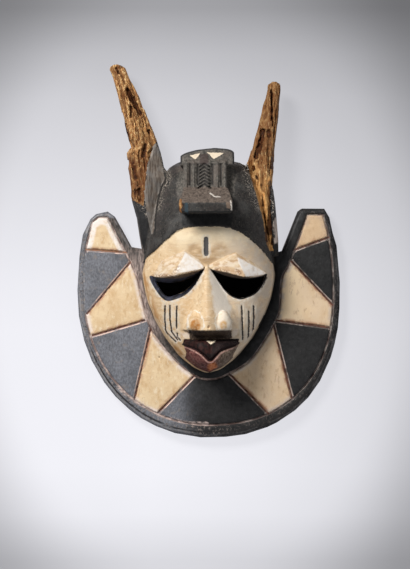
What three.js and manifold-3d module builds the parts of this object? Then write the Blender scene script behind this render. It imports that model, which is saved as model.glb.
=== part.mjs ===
// Carved and painted wooden face mask, lying on its back with the face up.
// X runs to the right, Y towards the top of the head, Z out of the face. Millimetres.
// The mask is one piece of wood: a flat crescent collar, a hollow head with its face,
// a crest block above the brow, and two tall horns, broken and eaten by insects.

import * as THREE from 'three';
import { ConvexGeometry } from 'three/addons/geometries/ConvexGeometry.js';
import { mergeVertices } from 'three/addons/utils/BufferGeometryUtils.js';
import Module from 'manifold-3d';

// Whole mask
const HALF_HEIGHT = 249.5;
const HALF_WIDTH = 176.5;
const WALL = 13;

// Collar, a crescent cut from a board
const COLLAR_MIDDLE_Y = -55;
const COLLAR_THICKNESS = 22;
const COLLAR_ROUNDING = 6;
const COLLAR_LEFT_FULLNESS = 2.05;
const COLLAR_RIGHT_FULLNESS = 2.3;
const COLLAR_UPPER_REACH = 285;
const COLLAR_TIP_Y = 57.5;
const NOTCH_X = 97;
const RIM_AT_SIDE = 9.2;
const RIM_AT_BOTTOM = 17;
const GROOVE_DEPTH = 2.2;

// Head in plan: the middle of the face, its half width, and how far jaw and skull reach
const FACE_MIDDLE_Y = -30;
const HEAD_HALF_WIDTH = 88;
const JAW_LENGTH = 131;
const JAW_ROUNDNESS = 1.6;
const SKULL_LENGTH = 148;
const SKULL_ROUNDNESS = 6;
const SKULL_TAPER = 0.2;

// Head in depth
const HEAD_EDGE_Z = 48;
const CHEEK_Z = 92;
const FOREHEAD_Z = 112;
const DOME_FULLNESS = 3.2;
const DOME_SHOULDER = 1.8;
const NECK_FLARE = 0.035;
const HAIR_THICKNESS = 2.2;
const HAIRLINE_RISE = 61.5;
const HAIRLINE_ROUNDNESS = 1.85;
const HAIRLINE_OVERRUN = 3;

// Lids, nose, lips and cheek marks
const LID_EDGE_Z = 114;
const NOSE_X = 1.5;
const NOSE_TOP_Y = -19;
const NOSE_BASE_Y = -103.5;
const NOSE_HALF_WIDTH = 29;
const NOSE_TIP_Z = 127;
const MOUTH_X = 2.5;
const MOUTH_TOP_Y = -117.5;
const MOUTH_HALF_WIDTH = 35;
const MOUTH_DIP_Y = -142;
const LIP_Z = 112;
const CHEEK_MARK_PITCH = 7.3;

// Crest block
const CREST_X = -5;
const CREST_HALF_WIDTH = 28;
const CREST_BAND_HALF_WIDTH = 35;
const CREST_TOP = { y: 116, z: 99 };
const CREST_FOOT = { y: 82, z: 117 };
const CREST_BAND_TOP_Y = 134;
const CHEVRON_COUNT = 6;
const LEDGE_HALF_WIDTH = 34;
const LEDGE_FRONT_Y = 61;
const LEDGE_LIP_Y = 47;
const LEDGE_Z = 152;

// Horns: at each height the outer and inner side as seen from the front, and the front in depth
const HORN_BACK_Z = 8;
const LEFT_HORN = [
  { y: -6, outer: -85, inner: -66, front: 46 },
  { y: 18, outer: -90, inner: -62, front: 55 },
  { y: 45, outer: -96, inner: -58, front: 60 },
  { y: 73, outer: -104, inner: -54, front: 62 },
  { y: 98, outer: -107, inner: -50, front: 62 },
  { y: 112, outer: -108.5, inner: -60.5, front: 61 },
  { y: 131, outer: -109, inner: -64.5, front: 60 },
  { y: 138, outer: -104.5, inner: -67, front: 59 },
  { y: 151, outer: -108, inner: -72, front: 57 },
  { y: 184, outer: -116.5, inner: -86, front: 52 },
  { y: 212, outer: -122.5, inner: -98.5, front: 47 },
  { y: 233, outer: -128, inner: -109.5, front: 42 },
  { y: 243, outer: -130, inner: -113.5, front: 40 },
  { y: HALF_HEIGHT, outer: -129, inner: -119, front: 37 },
];
const RIGHT_HORN = [
  { y: -6, outer: 93, inner: 74, front: 53 },
  { y: 15, outer: 92.5, inner: 66, front: 60 },
  { y: 47, outer: 90, inner: 58, front: 64 },
  { y: 71, outer: 86.5, inner: 52, front: 65 },
  { y: 86, outer: 83, inner: 47, front: 64 },
  { y: 107, outer: 85, inner: 47, front: 62 },
  { y: 118, outer: 85.3, inner: 51.6, front: 60 },
  { y: 137, outer: 87, inner: 58, front: 58 },
  { y: 160, outer: 89.5, inner: 64.5, front: 55 },
  { y: 179, outer: 92, inner: 69.2, front: 52 },
  { y: 207, outer: 94, inner: 75.5, front: 47 },
  { y: 218, outer: 93.3, inner: 79.5, front: 43 },
  { y: 224, outer: 90, inner: 84, front: 40 },
];

const wasm = await Module();
wasm.setup();

// A closed three.js geometry as a solid that can be joined and cut
function solid(geometry) {
  const bare = geometry.index ? geometry.toNonIndexed() : geometry.clone();
  bare.deleteAttribute('normal');
  bare.deleteAttribute('uv');
  const welded = mergeVertices(bare, 1e-3);
  const triVerts = [];
  for (let i = 0; i < welded.index.count; i += 3) {
    const [a, b, c] = [0, 1, 2].map((corner) => welded.index.getX(i + corner));
    if (a !== b && b !== c && c !== a) {
      triVerts.push(a, b, c);
    }
  }
  return new wasm.Manifold(new wasm.Mesh({
    numProp: 3,
    vertProperties: Float32Array.from(welded.attributes.position.array),
    triVerts: Uint32Array.from(triVerts),
  }));
}

function join(parts) {
  return parts.reduce((whole, part) => whole.add(part));
}

function cut(whole, cutters) {
  return cutters.reduce((rest, cutter) => rest.subtract(cutter), whole);
}

function vectors(points) {
  return points.map(([x, y, z]) => new THREE.Vector3(x, y, z));
}

// A prism standing on a plan outline, from zLow to zHigh
function prism(outline, zLow, zHigh) {
  const geometry = new THREE.ExtrudeGeometry(new THREE.Shape(outline), {
    depth: zHigh - zLow,
    bevelEnabled: false,
  });
  return solid(geometry.translate(0, 0, zLow));
}

function hull(points) {
  return solid(new ConvexGeometry(vectors(points)));
}

function ball([x, y, z], [radiusX, radiusY, radiusZ], turn = 0, sides = 14) {
  const geometry = new THREE.SphereGeometry(1, sides, Math.round(sides * 0.7));
  geometry.scale(radiusX, radiusY, radiusZ);
  geometry.rotateZ(turn);
  geometry.translate(x, y, z);
  return solid(geometry);
}

// An incised line: a square bar on its edge, swept along the surface
function groove(points, depth, steps) {
  const section = new THREE.Shape([
    new THREE.Vector2(depth, 0),
    new THREE.Vector2(0, depth),
    new THREE.Vector2(-depth, 0),
    new THREE.Vector2(0, -depth),
  ]);
  return solid(new THREE.ExtrudeGeometry(section, {
    extrudePath: new THREE.CatmullRomCurve3(vectors(points)),
    steps,
    bevelEnabled: false,
  }));
}

// Head surface

// A point of the head's plan: share is 0 at the middle of the face and 1 on its outline
function headPlan(share, angle, inset) {
  const across = Math.cos(angle);
  const along = Math.sin(angle);
  const power = along > 0 ? SKULL_ROUNDNESS : JAW_ROUNDNESS;
  const length = (along > 0 ? SKULL_LENGTH : JAW_LENGTH) - inset;
  const reach = share / (Math.abs(across) ** power + Math.abs(along) ** power) ** (1 / power);
  const rise = along * reach * length;
  const halfWidth = HEAD_HALF_WIDTH - inset - SKULL_TAPER * Math.max(0, rise);
  return [across * reach * halfWidth, FACE_MIDDLE_Y + rise];
}

// The same share, worked back from a place on the plan
function headShare(x, y) {
  const rise = y - FACE_MIDDLE_Y;
  const power = rise > 0 ? SKULL_ROUNDNESS : JAW_ROUNDNESS;
  const length = rise > 0 ? SKULL_LENGTH : JAW_LENGTH;
  const halfWidth = HEAD_HALF_WIDTH - SKULL_TAPER * Math.max(0, rise);
  return ((Math.abs(x) / halfWidth) ** power + (Math.abs(rise) / length) ** power) ** (1 / power);
}

function domeZ(share, y, sunk) {
  const browShare = THREE.MathUtils.smoothstep(y, -70, 30);
  const crown = THREE.MathUtils.lerp(CHEEK_Z, FOREHEAD_Z, browShare) - sunk;
  const edge = HEAD_EDGE_Z - sunk;
  return edge + (crown - edge) * (1 - share ** DOME_FULLNESS) ** (1 / DOME_SHOULDER);
}

function faceZ(x, y) {
  return domeZ(Math.min(headShare(x, y), 1), y, 0);
}

// A lathe-turned dome, pressed into the head's plan and depth
function headForm({ inset = 0, flare = 0, floor = 0, sides = 52 }) {
  const shares = [0, 0.2, 0.38, 0.52, 0.64, 0.74, 0.82, 0.885, 0.935, 0.97, 0.99, 1];
  const profile = shares.map((share) => new THREE.Vector2(share, 1));
  profile.push(new THREE.Vector2(1 + flare, 0));
  profile.push(new THREE.Vector2(0, 0));
  const geometry = new THREE.LatheGeometry(profile.reverse(), sides);
  const place = geometry.attributes.position;
  for (let i = 0; i < place.count; i += 1) {
    const share = Math.hypot(place.getX(i), place.getZ(i));
    const angle = Math.atan2(-place.getZ(i), place.getX(i));
    const [x, y] = headPlan(share, angle, inset);
    const z = place.getY(i) > 0.5 ? domeZ(Math.min(share, 1), y, inset) : floor;
    place.setXYZ(i, x, y, z);
  }
  return solid(geometry);
}

// The cap of hair lies on the skull down to a rounded hairline
function hairCap() {
  const bareFace = [new THREE.Vector2(-120, -200), new THREE.Vector2(120, -200)];
  const steps = 28;
  for (let i = 0; i <= steps; i += 1) {
    const angle = (i / steps) * Math.PI;
    const across = Math.cos(angle);
    const up = Math.sin(angle);
    const power = HAIRLINE_ROUNDNESS;
    const reach = 1 / (Math.abs(across) ** power + up ** power) ** (1 / power);
    const x = across * reach * (HEAD_HALF_WIDTH + HAIRLINE_OVERRUN);
    bareFace.push(new THREE.Vector2(x, FACE_MIDDLE_Y + up * reach * HAIRLINE_RISE));
  }
  return headForm({ inset: -HAIR_THICKNESS, flare: NECK_FLARE }).subtract(prism(bareFace, -1, 200));
}

// Collar

// A quarter of the rounded lower outline, from the side down to the bottom
function collarQuarter(side, halfWidth, depth, steps) {
  const fullness = side < 0 ? COLLAR_LEFT_FULLNESS : COLLAR_RIGHT_FULLNESS;
  const points = [];
  for (let i = 0; i <= steps; i += 1) {
    const angle = (i / steps) * Math.PI / 2;
    const across = Math.cos(angle);
    const down = Math.sin(angle);
    const reach = 1 / (across ** fullness + down ** fullness) ** (1 / fullness);
    points.push([side * halfWidth * across * reach, COLLAR_MIDDLE_Y - depth * down * reach]);
  }
  return points;
}

// The nearly straight side above the collar's widest place
function collarSideX(y, halfWidth) {
  return halfWidth * Math.sqrt(1 - ((y - COLLAR_MIDDLE_Y) / COLLAR_UPPER_REACH) ** 2);
}

function collarSide(side, halfWidth, top) {
  return [top, top / 2 - 12, -30].map((y) => [side * collarSideX(y, halfWidth), y]);
}

function collarPlate() {
  const depth = HALF_HEIGHT + COLLAR_MIDDLE_Y;
  const leftTip = new THREE.Path();
  leftTip.moveTo(-NOTCH_X, 0);
  leftTip.bezierCurveTo(-106, 10, -113, 36, -126, 49);
  leftTip.quadraticCurveTo(-132, COLLAR_TIP_Y + 1, -143, COLLAR_TIP_Y - 2);
  leftTip.quadraticCurveTo(-162, 50, -collarSideX(24, HALF_WIDTH), 24);
  const outline = [
    ...leftTip.getPoints(7).map(({ x, y }) => [x, y]),
    ...collarSide(-1, HALF_WIDTH, 8),
    ...collarQuarter(-1, HALF_WIDTH, depth, 26),
    ...collarQuarter(1, HALF_WIDTH, depth, 26).reverse().slice(1),
    ...collarSide(1, HALF_WIDTH, 8).reverse(),
    [collarSideX(30, HALF_WIDTH) - 3, 30],
    [157.5, 54],
    [149, COLLAR_TIP_Y],
    [127, COLLAR_TIP_Y],
    [121, 54],
    [110, 28],
    [NOTCH_X + 1, 1],
    [72, -6],
    [-72, -6],
  ];
  const geometry = new THREE.ExtrudeGeometry(new THREE.Shape(outline.map(([x, y]) => new THREE.Vector2(x, y))), {
    depth: COLLAR_THICKNESS - 2 * COLLAR_ROUNDING,
    bevelThickness: COLLAR_ROUNDING,
    bevelSize: COLLAR_ROUNDING,
    bevelOffset: -COLLAR_ROUNDING,
    bevelSegments: 2,
  });
  return solid(geometry.translate(0, 0, COLLAR_ROUNDING));
}

// The incised lines that part the painted fields: two long curves and the spokes between them
function collarGrooves() {
  const atSurface = (points) => points.map(([x, y]) => [x, y, COLLAR_THICKNESS]);
  const halfWidth = HALF_WIDTH - RIM_AT_SIDE;
  const depth = HALF_HEIGHT + COLLAR_MIDDLE_Y - RIM_AT_BOTTOM;
  const outer = [
    [-135.6, 45.7],
    [-156.7, 39.2],
    [-165, 3],
    ...collarQuarter(-1, halfWidth, depth, 9),
    ...collarQuarter(1, halfWidth, depth, 9).reverse().slice(1),
    [165, -7],
    [160, 25],
    [153.3, 49.8],
    [132.7, 49.8],
  ];
  const inner = [
    [-135.6, 45.7],
    [-122.6, 18.9],
    [-107, -10.3],
    [-96, -36],
    [-90.9, -58],
    [-77.5, -103.6],
    [-52, -138.5],
    [-19.8, -165.9],
    [5, -171],
    [27.6, -163.1],
    [55.4, -145.2],
    [79, -112],
    [94.3, -80.8],
    [97.6, -37.9],
    [110.4, -11],
    [132.7, 49.8],
  ];
  const spokes = [
    [[-110.4, -0.8], [-164.7, 3.1]],
    [[-105.1, -14.5], [-163.4, -83.4]],
    [[-86.1, -91.8], [-156.3, -112.5]],
    [[-77.6, -103], [-99.6, -198.2]],
    [[-19.3, -165.9], [-69.2, -217]],
    [[27.6, -163.1], [80.3, -217]],
    [[86.6, -98], [111.2, -196]],
    [[88, -91.3], [162, -101.5]],
    [[110.4, -12.6], [166.2, -71.7]],
    [[114, 2.3], [161, 19.5]],
  ];
  return [
    groove(atSurface(outer), GROOVE_DEPTH, 72),
    groove(atSurface(inner), GROOVE_DEPTH, 48),
    ...spokes.map((spoke) => groove(atSurface(spoke), GROOVE_DEPTH, 1)),
  ];
}

// Face

// A faceted lid that overhangs the eye, its sharp lower edge standing out from the face
function lid(side) {
  return hull([
    [side * 77, -33, 82],
    [side * 61.5, -13, 96],
    [side * 31, 0, 106],
    [side * 13, -10, 106],
    [side * 4, -20, 104],
    [side * 6, -23, 106],
    [side * 24, -27, LID_EDGE_Z - 1],
    [side * 41, -33, LID_EDGE_Z],
    [side * 64, -34, 98],
    [side * 24, -33, 90],
    [side * 41, -41, 86],
    [side * 64, -39, 80],
    [side * 40, -8, 84],
  ]);
}

function eyeOpening(side) {
  const outline = new THREE.Path();
  outline.moveTo(side * 7, -25);
  outline.quadraticCurveTo(side * 36, -49, side * 74, -33);
  outline.bezierCurveTo(side * 66, -66, side * 30, -74, side * 7, -25);
  const points = outline.getPoints(7);
  return prism(side > 0 ? points.reverse() : points, 30, LID_EDGE_Z + 20);
}

function nose() {
  const left = NOSE_X - NOSE_HALF_WIDTH;
  const right = NOSE_X + NOSE_HALF_WIDTH;
  const wedge = hull([
    [NOSE_X - 7, NOSE_TOP_Y, 103],
    [NOSE_X - 1, NOSE_TOP_Y, 103],
    [NOSE_X - 1.5, NOSE_BASE_Y + 9, NOSE_TIP_Z],
    [NOSE_X + 2.5, NOSE_BASE_Y + 9, NOSE_TIP_Z],
    [NOSE_X, NOSE_BASE_Y, NOSE_TIP_Z - 6],
    [left, NOSE_BASE_Y, 98],
    [right, NOSE_BASE_Y, 98],
    [left + 6, NOSE_BASE_Y - 9, 84],
    [right - 6, NOSE_BASE_Y - 9, 84],
    [NOSE_X, NOSE_TOP_Y, 84],
  ]);
  const wing = (side) => ball([NOSE_X + side * 16, NOSE_BASE_Y + 12, 103], [10.5, 13, 14.5]);
  return join([wedge, wing(-1), wing(1)]);
}

function lips() {
  const upper = (side) => hull([
    [MOUTH_X + side * MOUTH_HALF_WIDTH, MOUTH_TOP_Y, 88],
    [MOUTH_X + side * MOUTH_HALF_WIDTH, MOUTH_TOP_Y - 9, 88],
    [MOUTH_X + side * 22, MOUTH_TOP_Y, 102],
    [MOUTH_X, MOUTH_TOP_Y, LIP_Z - 6],
    [MOUTH_X + side * 12, MOUTH_DIP_Y + 9, LIP_Z],
    [MOUTH_X, MOUTH_DIP_Y, LIP_Z],
    [MOUTH_X + side * MOUTH_HALF_WIDTH, MOUTH_TOP_Y - 4, 70],
    [MOUTH_X, MOUTH_TOP_Y, 70],
    [MOUTH_X, MOUTH_DIP_Y, 70],
  ]);
  const lowerPoints = [];
  for (let i = 0; i <= 8; i += 1) {
    const angle = Math.PI * (1 + i / 8);
    const [across, down] = [Math.cos(angle), Math.sin(angle)];
    lowerPoints.push([MOUTH_X + 33 * across, MOUTH_DIP_Y + 13 + 28.5 * down, LIP_Z - 27]);
    lowerPoints.push([MOUTH_X + 28 * across, MOUTH_DIP_Y + 12 + 24 * down, LIP_Z - 10]);
    lowerPoints.push([MOUTH_X + 19 * across, MOUTH_DIP_Y + 11 + 17 * down, LIP_Z - 3]);
  }
  const lower = hull(lowerPoints);
  const mouthLine = groove([
    [MOUTH_X - MOUTH_HALF_WIDTH, MOUTH_TOP_Y - 9.5, 88],
    [MOUTH_X - 12, MOUTH_DIP_Y + 8, LIP_Z - 1],
    [MOUTH_X, MOUTH_DIP_Y - 1, LIP_Z],
    [MOUTH_X + 12, MOUTH_DIP_Y + 7, LIP_Z - 1],
    [MOUTH_X + MOUTH_HALF_WIDTH, MOUTH_TOP_Y - 11.5, 88],
  ], 2.4, 16);
  return join([upper(-1), upper(1), lower]).subtract(mouthLine);
}

// Three upright cuts on each cheek, and the single one on the forehead
function faceMarks() {
  const upright = (x, top, bottom) => {
    const stations = [0, 0.33, 0.67, 1].map((share) => THREE.MathUtils.lerp(top, bottom, share));
    return stations.map((y) => [x, y, faceZ(x, y)]);
  };
  const marks = [groove(upright(-3.5, 18, -6), 2.6, 4)];
  for (let i = 0; i < 3; i += 1) {
    marks.push(groove(upright(-58 + i * CHEEK_MARK_PITCH, -72, -104), 1.5, 4));
    marks.push(groove(upright(44 + i * CHEEK_MARK_PITCH, -71, -114), 1.5, 4));
  }
  return marks;
}

// Crest

function crestSlopeZ(y) {
  return CREST_TOP.z + (CREST_FOOT.z - CREST_TOP.z) * (CREST_TOP.y - y) / (CREST_TOP.y - CREST_FOOT.y);
}

// A low bar on the crest's sloping panel
function crestBar([x1, y1], [x2, y2], width, rise) {
  const start = new THREE.Vector3(x1, y1, crestSlopeZ(y1));
  const end = new THREE.Vector3(x2, y2, crestSlopeZ(y2));
  const along = end.clone().sub(start);
  const geometry = new THREE.BoxGeometry(along.length() + width / 2, width, 2 * rise);
  const out = new THREE.Vector3(0, CREST_FOOT.z - CREST_TOP.z, CREST_TOP.y - CREST_FOOT.y).normalize();
  const lengthAxis = along.clone().normalize();
  const across = out.clone().cross(lengthAxis).normalize();
  geometry.applyMatrix4(new THREE.Matrix4().makeBasis(lengthAxis, across, out));
  const middle = start.add(end).multiplyScalar(0.5);
  return solid(geometry.translate(middle.x, middle.y, middle.z));
}

function crest() {
  const left = CREST_X - CREST_HALF_WIDTH;
  const right = CREST_X + CREST_HALF_WIDTH;
  const panel = hull([left, right].flatMap((x) => [
    [x, CREST_TOP.y + 2, CREST_TOP.z],
    [x, CREST_FOOT.y, CREST_FOOT.z],
    [x, CREST_FOOT.y - 8, CREST_FOOT.z],
    [x, CREST_TOP.y + 2, 60],
    [x, CREST_FOOT.y - 8, 90],
  ]));
  const bandArch = new THREE.Path();
  bandArch.moveTo(-CREST_BAND_HALF_WIDTH, 98);
  bandArch.lineTo(CREST_BAND_HALF_WIDTH, 98);
  bandArch.lineTo(CREST_BAND_HALF_WIDTH, CREST_BAND_TOP_Y - 6);
  bandArch.quadraticCurveTo(CREST_BAND_HALF_WIDTH - 2, CREST_BAND_TOP_Y, 8, CREST_BAND_TOP_Y);
  bandArch.quadraticCurveTo(-24, CREST_BAND_TOP_Y - 2, -CREST_BAND_HALF_WIDTH, CREST_BAND_TOP_Y - 10);
  const arch = bandArch.getPoints(5).map(({ x, y }) => new THREE.Vector2(x + CREST_X + 3, y));
  const band = prism(arch, 62, CREST_TOP.z - 2);
  const ledge = hull([-1, 1].flatMap((side) => [
    [CREST_X + side * (LEDGE_HALF_WIDTH - 3), CREST_FOOT.y, CREST_FOOT.z + 1],
    [CREST_X + side * LEDGE_HALF_WIDTH, LEDGE_FRONT_Y, LEDGE_Z],
    [CREST_X + side * (LEDGE_HALF_WIDTH - 2), LEDGE_LIP_Y, LEDGE_Z - 2],
    [CREST_X + side * (LEDGE_HALF_WIDTH - 5), LEDGE_LIP_Y + 2, 100],
  ]));
  const ribs = [-22, 21].map((offset) => crestBar(
    [CREST_X + offset, CREST_TOP.y - 1],
    [CREST_X + offset, CREST_FOOT.y + 1],
    6,
    4.5,
  ));
  const chevrons = [];
  const pitch = (CREST_TOP.y - CREST_FOOT.y) / CHEVRON_COUNT;
  for (let i = 0; i < CHEVRON_COUNT; i += 1) {
    const peakY = CREST_TOP.y - 1 - i * pitch;
    for (const side of [-1, 1]) {
      chevrons.push(crestBar([CREST_X, peakY], [CREST_X + side * 8, peakY - 5], 2.6, 3));
    }
  }
  return join([panel, band, ledge, ...ribs, ...chevrons]);
}

// Horns

// An eight-sided post lofted through a horn's stations, its ridge nearer the outer side
function horn(stations) {
  const sides = 8;
  const lastRow = stations.length - 1;
  const hand = Math.sign(stations[0].inner - stations[0].outer);
  const geometry = new THREE.CylinderGeometry(1, 1, 1, sides, lastRow);
  const section = [
    [0, 0.5],
    [0.1, 0.9],
    [0.42, 1],
    [0.8, 0.8],
    [1, 0.66],
    [1, 0.4],
    [0.72, 0.05],
    [0.3, 0],
  ];
  const place = geometry.attributes.position;
  for (let i = 0; i < place.count; i += 1) {
    const station = stations[Math.round((place.getY(i) + 0.5) * lastRow)];
    const backZ = HORN_BACK_Z + 16 * Math.max(0, (station.y - 90) / 160);
    const onAxis = Math.hypot(place.getX(i), place.getZ(i)) < 0.5;
    const turn = hand * Math.atan2(place.getX(i), place.getZ(i)) / (2 * Math.PI);
    const corner = Math.round((turn + 1) * sides) % sides;
    const [across, forward] = onAxis ? [0.5, 0.5] : section[corner];
    place.setXYZ(
      i,
      THREE.MathUtils.lerp(station.outer, station.inner, across),
      station.y,
      THREE.MathUtils.lerp(backZ, station.front, forward),
    );
  }
  return solid(geometry);
}

// Long hollows that insects ate into the bare wood: place, half length, half width, depth, lean
function eatenHollows() {
  const hollows = [
    { x: -118, y: 205, z: 46, length: 30, width: 3.5, depth: 9, lean: 0.28 },
    { x: -101, y: 168, z: 54, length: 26, width: 5, depth: 12, lean: 0.3 },
    { x: -92, y: 128, z: 60, length: 22, width: 4.5, depth: 12, lean: 0.12 },
    { x: -99, y: 88, z: 60, length: 18, width: 4, depth: 9, lean: 0.08 },
    { x: 87, y: 190, z: 48, length: 24, width: 2.5, depth: 9, lean: -0.03 },
    { x: 69, y: 142, z: 56, length: 22, width: 4.5, depth: 13, lean: -0.2 },
    { x: 80, y: 138, z: 56, length: 20, width: 3.5, depth: 12, lean: 0.02 },
    { x: 76, y: 78, z: 61, length: 20, width: 3.5, depth: 8, lean: 0.12 },
  ];
  return hollows.map(({ x, y, z, length, width, depth, lean }) => (
    ball([x, y, z], [width, length, depth], lean, 8)
  ));
}

function carvedMask() {
  const outside = join([
    collarPlate(),
    headForm({ flare: NECK_FLARE }),
    hairCap(),
    horn(LEFT_HORN),
    horn(RIGHT_HORN),
  ]);
  const withFace = join([
    cut(outside, [...collarGrooves(), ...eatenHollows(), ...faceMarks()]),
    lid(-1),
    lid(1),
    nose(),
    lips(),
    crest(),
  ]);
  const hollow = headForm({ inset: WALL, floor: -5, sides: 40 });
  return cut(withFace, [hollow, eyeOpening(-1), eyeOpening(1)]);
}

function meshOf(whole) {
  const { vertProperties, triVerts } = whole.getMesh();
  const geometry = new THREE.BufferGeometry();
  geometry.setAttribute('position', new THREE.Float32BufferAttribute(vertProperties, 3));
  geometry.setIndex(new THREE.Uint32BufferAttribute(triVerts, 1));
  geometry.computeVertexNormals();
  return geometry;
}

const paintedWood = new THREE.MeshStandardMaterial({ color: 0x8f7d68, roughness: 0.8, metalness: 0 });

const mask = new THREE.Mesh(meshOf(carvedMask()), paintedWood);
mask.name = 'carved_mask';

const group = new THREE.Group();
group.add(mask);

export default group;
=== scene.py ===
# %% [markdown]
# # A carved and painted wooden face mask, lying on its back
# The real mask is one block of wood, cut with an adze and a knife, hollowed from behind,
# painted cream and black, and later eaten by insects where its two horns broke off.
# We follow the carver: rough out the block, add nothing, cut the lines, then paint.
# The block is a grid of distances, negative inside the wood and positive outside.
# Blender can turn such a grid into a mesh, and joining or cutting is then plain arithmetic.

# %% Load the fixed frame
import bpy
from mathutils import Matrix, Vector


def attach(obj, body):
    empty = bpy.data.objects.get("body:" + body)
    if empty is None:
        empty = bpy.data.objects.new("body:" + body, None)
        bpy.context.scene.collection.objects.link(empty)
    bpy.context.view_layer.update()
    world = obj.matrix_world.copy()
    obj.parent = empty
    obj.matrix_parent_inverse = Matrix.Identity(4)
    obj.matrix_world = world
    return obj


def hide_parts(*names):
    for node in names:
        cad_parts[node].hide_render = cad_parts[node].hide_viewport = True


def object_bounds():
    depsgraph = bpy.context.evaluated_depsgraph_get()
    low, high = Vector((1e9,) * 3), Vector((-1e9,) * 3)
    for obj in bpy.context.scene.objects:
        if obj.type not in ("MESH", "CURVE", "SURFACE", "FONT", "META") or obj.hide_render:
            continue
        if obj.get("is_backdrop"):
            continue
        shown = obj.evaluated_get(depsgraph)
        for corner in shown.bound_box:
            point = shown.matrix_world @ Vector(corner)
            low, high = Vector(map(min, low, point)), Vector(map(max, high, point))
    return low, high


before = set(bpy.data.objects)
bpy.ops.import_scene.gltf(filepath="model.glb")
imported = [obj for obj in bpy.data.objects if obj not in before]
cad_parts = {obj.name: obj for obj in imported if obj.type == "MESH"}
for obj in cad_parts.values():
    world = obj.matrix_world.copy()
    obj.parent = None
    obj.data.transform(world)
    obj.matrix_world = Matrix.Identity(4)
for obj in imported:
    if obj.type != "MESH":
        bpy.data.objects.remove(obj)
cad_low, cad_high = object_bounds()
print("solid model box in metres:", list(cad_low), list(cad_high))

# %% [markdown]
# ## Tools
# Blender's own Python brings numpy for the arithmetic and OpenVDB for turning a grid into a
# mesh, so nothing has to be added. All measures below are in mm, and one number turns them
# into Blender's metres.

# %% Tools
import math
import time
import bmesh
import bpy
import numpy as np
import openvdb
from mathutils import Vector

MM = 0.001
started = time.time()
print("Blender", bpy.app.version_string)

# %% [markdown]
# ## The block of wood
# A finer grid keeps more knife work but takes longer. 1 mm is a little under one pixel of the
# picture, and a coarser grid will do while other things are being tried.

# %% The grid
VOXEL = 1.0
MARGIN = 4
LOW = [math.floor(v / MM) - MARGIN for v in cad_low]
HIGH = [math.ceil(v / MM) + MARGIN for v in cad_high]
AXES = [np.arange(low, high, VOXEL, dtype=np.float32) for low, high in zip(LOW, HIGH)]
body = np.full([len(axis) for axis in AXES], 40.0, np.float32)
print("grid cells:", body.shape, f"{body.size / 1e6:.1f} million")


def region(low, high):
    """The part of the block between two corners in mm: its slices and its axes."""
    parts = []
    for axis, start, end in zip(AXES, low, high):
        first = max(0, int((start - axis[0]) / VOXEL))
        last = min(len(axis), int((end - axis[0]) / VOXEL) + 2)
        parts.append(slice(first, last))
    x, y, z = (axis[part] for axis, part in zip(AXES, parts))
    return tuple(parts), x[:, None, None], y[None, :, None], z[None, None, :]


# %% [markdown]
# ## Joining and cutting
# The smaller of two distances joins two forms, and the larger keeps what they share.
# A carver's tool never leaves a perfect corner, so each of these rounds the seam a little.

# %% Soft joins and cuts
def soft_union(a, b, blend):
    mix = np.clip(0.5 + 0.5 * (b - a) / blend, 0, 1)
    return b + (a - b) * mix - blend * mix * (1 - mix)


def soft_both(a, b, blend):
    return -soft_union(-a, -b, blend)


def soft_cut(a, b, blend):
    return -soft_union(-a, b, blend)


def smooth_step(low, high, value):
    t = np.clip((value - low) / (high - low), 0, 1)
    return t * t * (3 - 2 * t)


print(f"a blend of 4 mm fills a seam by {-soft_union(0.0, 0.0, 4):.0f} mm")

# %% [markdown]
# ## Hand work is never even
# Soft random hills stand for the wander of the knife, the wood's grain and the insects.
# The dice are seeded, so every run carves the same mask.

# %% Random hills
def hills(x, y, z, size, seed):
    """Random height from -1 to 1; size is the width of a hill in mm along X, Y and Z."""
    table = np.random.default_rng(seed).uniform(-1, 1, (32, 32, 32)).astype(np.float32)
    cells, shares = [], []
    for axis, width in zip((x, y, z), size):
        place = np.asarray(axis, np.float32) / width
        low = np.floor(place)
        share = place - low
        cells.append(low.astype(np.int32))
        shares.append(share * share * (3 - 2 * share))
    total = 0.0
    for corner in range(8):
        weight, index = 1.0, []
        for axis in range(3):
            up = (corner >> axis) & 1
            weight = weight * (shares[axis] if up else 1 - shares[axis])
            index.append((cells[axis] + up) & 31)
        total = total + weight * table[tuple(index)]
    return total


print("three heights of a hill:", [round(float(hills(v, 0, 0, (9, 9, 9), 1)), 2) for v in (0, 5, 10)])

# %% [markdown]
# ## Lines drawn on the plan
# Most of the mask can be drawn on paper, seen from the front: the collar's outline, the
# incised lines, the eyes. These helpers measure how far each place is from such a line.

# %% Curves and distances on the plan
def bezier(*corners, steps=12):
    """Points along a curve pulled by three or four corners."""
    line = []
    for step in range(steps + 1):
        t = step / steps
        points = [np.array(corner, float) for corner in corners]
        while len(points) > 1:
            points = [a + (b - a) * t for a, b in zip(points, points[1:])]
        line.append(tuple(points[0]))
    return line


def flowing(points, steps=8):
    """A smooth line through all the points."""
    p = [np.array(point, float) for point in points]
    p = [2 * p[0] - p[1]] + p + [2 * p[-1] - p[-2]]
    line = []
    for a, b, c, d in zip(p, p[1:], p[2:], p[3:]):
        for step in range(steps):
            t = step / steps
            bend = 2 * a - 5 * b + 4 * c - d + t * (3 * (b - c) + d - a)
            line.append(tuple(b + 0.5 * t * (c - a + t * bend)))
    return line + [tuple(p[-2])]


def line_distance(x, y, points):
    nearest = np.full(np.broadcast(x, y).shape, 1e6, np.float32)
    for (x1, y1), (x2, y2) in zip(points, points[1:]):
        dx, dy = x2 - x1, y2 - y1
        share = np.clip(((x - x1) * dx + (y - y1) * dy) / (dx * dx + dy * dy + 1e-9), 0, 1)
        nearest = np.minimum(nearest, (x - x1 - share * dx) ** 2 + (y - y1 - share * dy) ** 2)
    return np.sqrt(nearest)


def lines_distance(x, y, lines):
    return np.minimum.reduce([line_distance(x, y, line) for line in lines])


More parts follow.
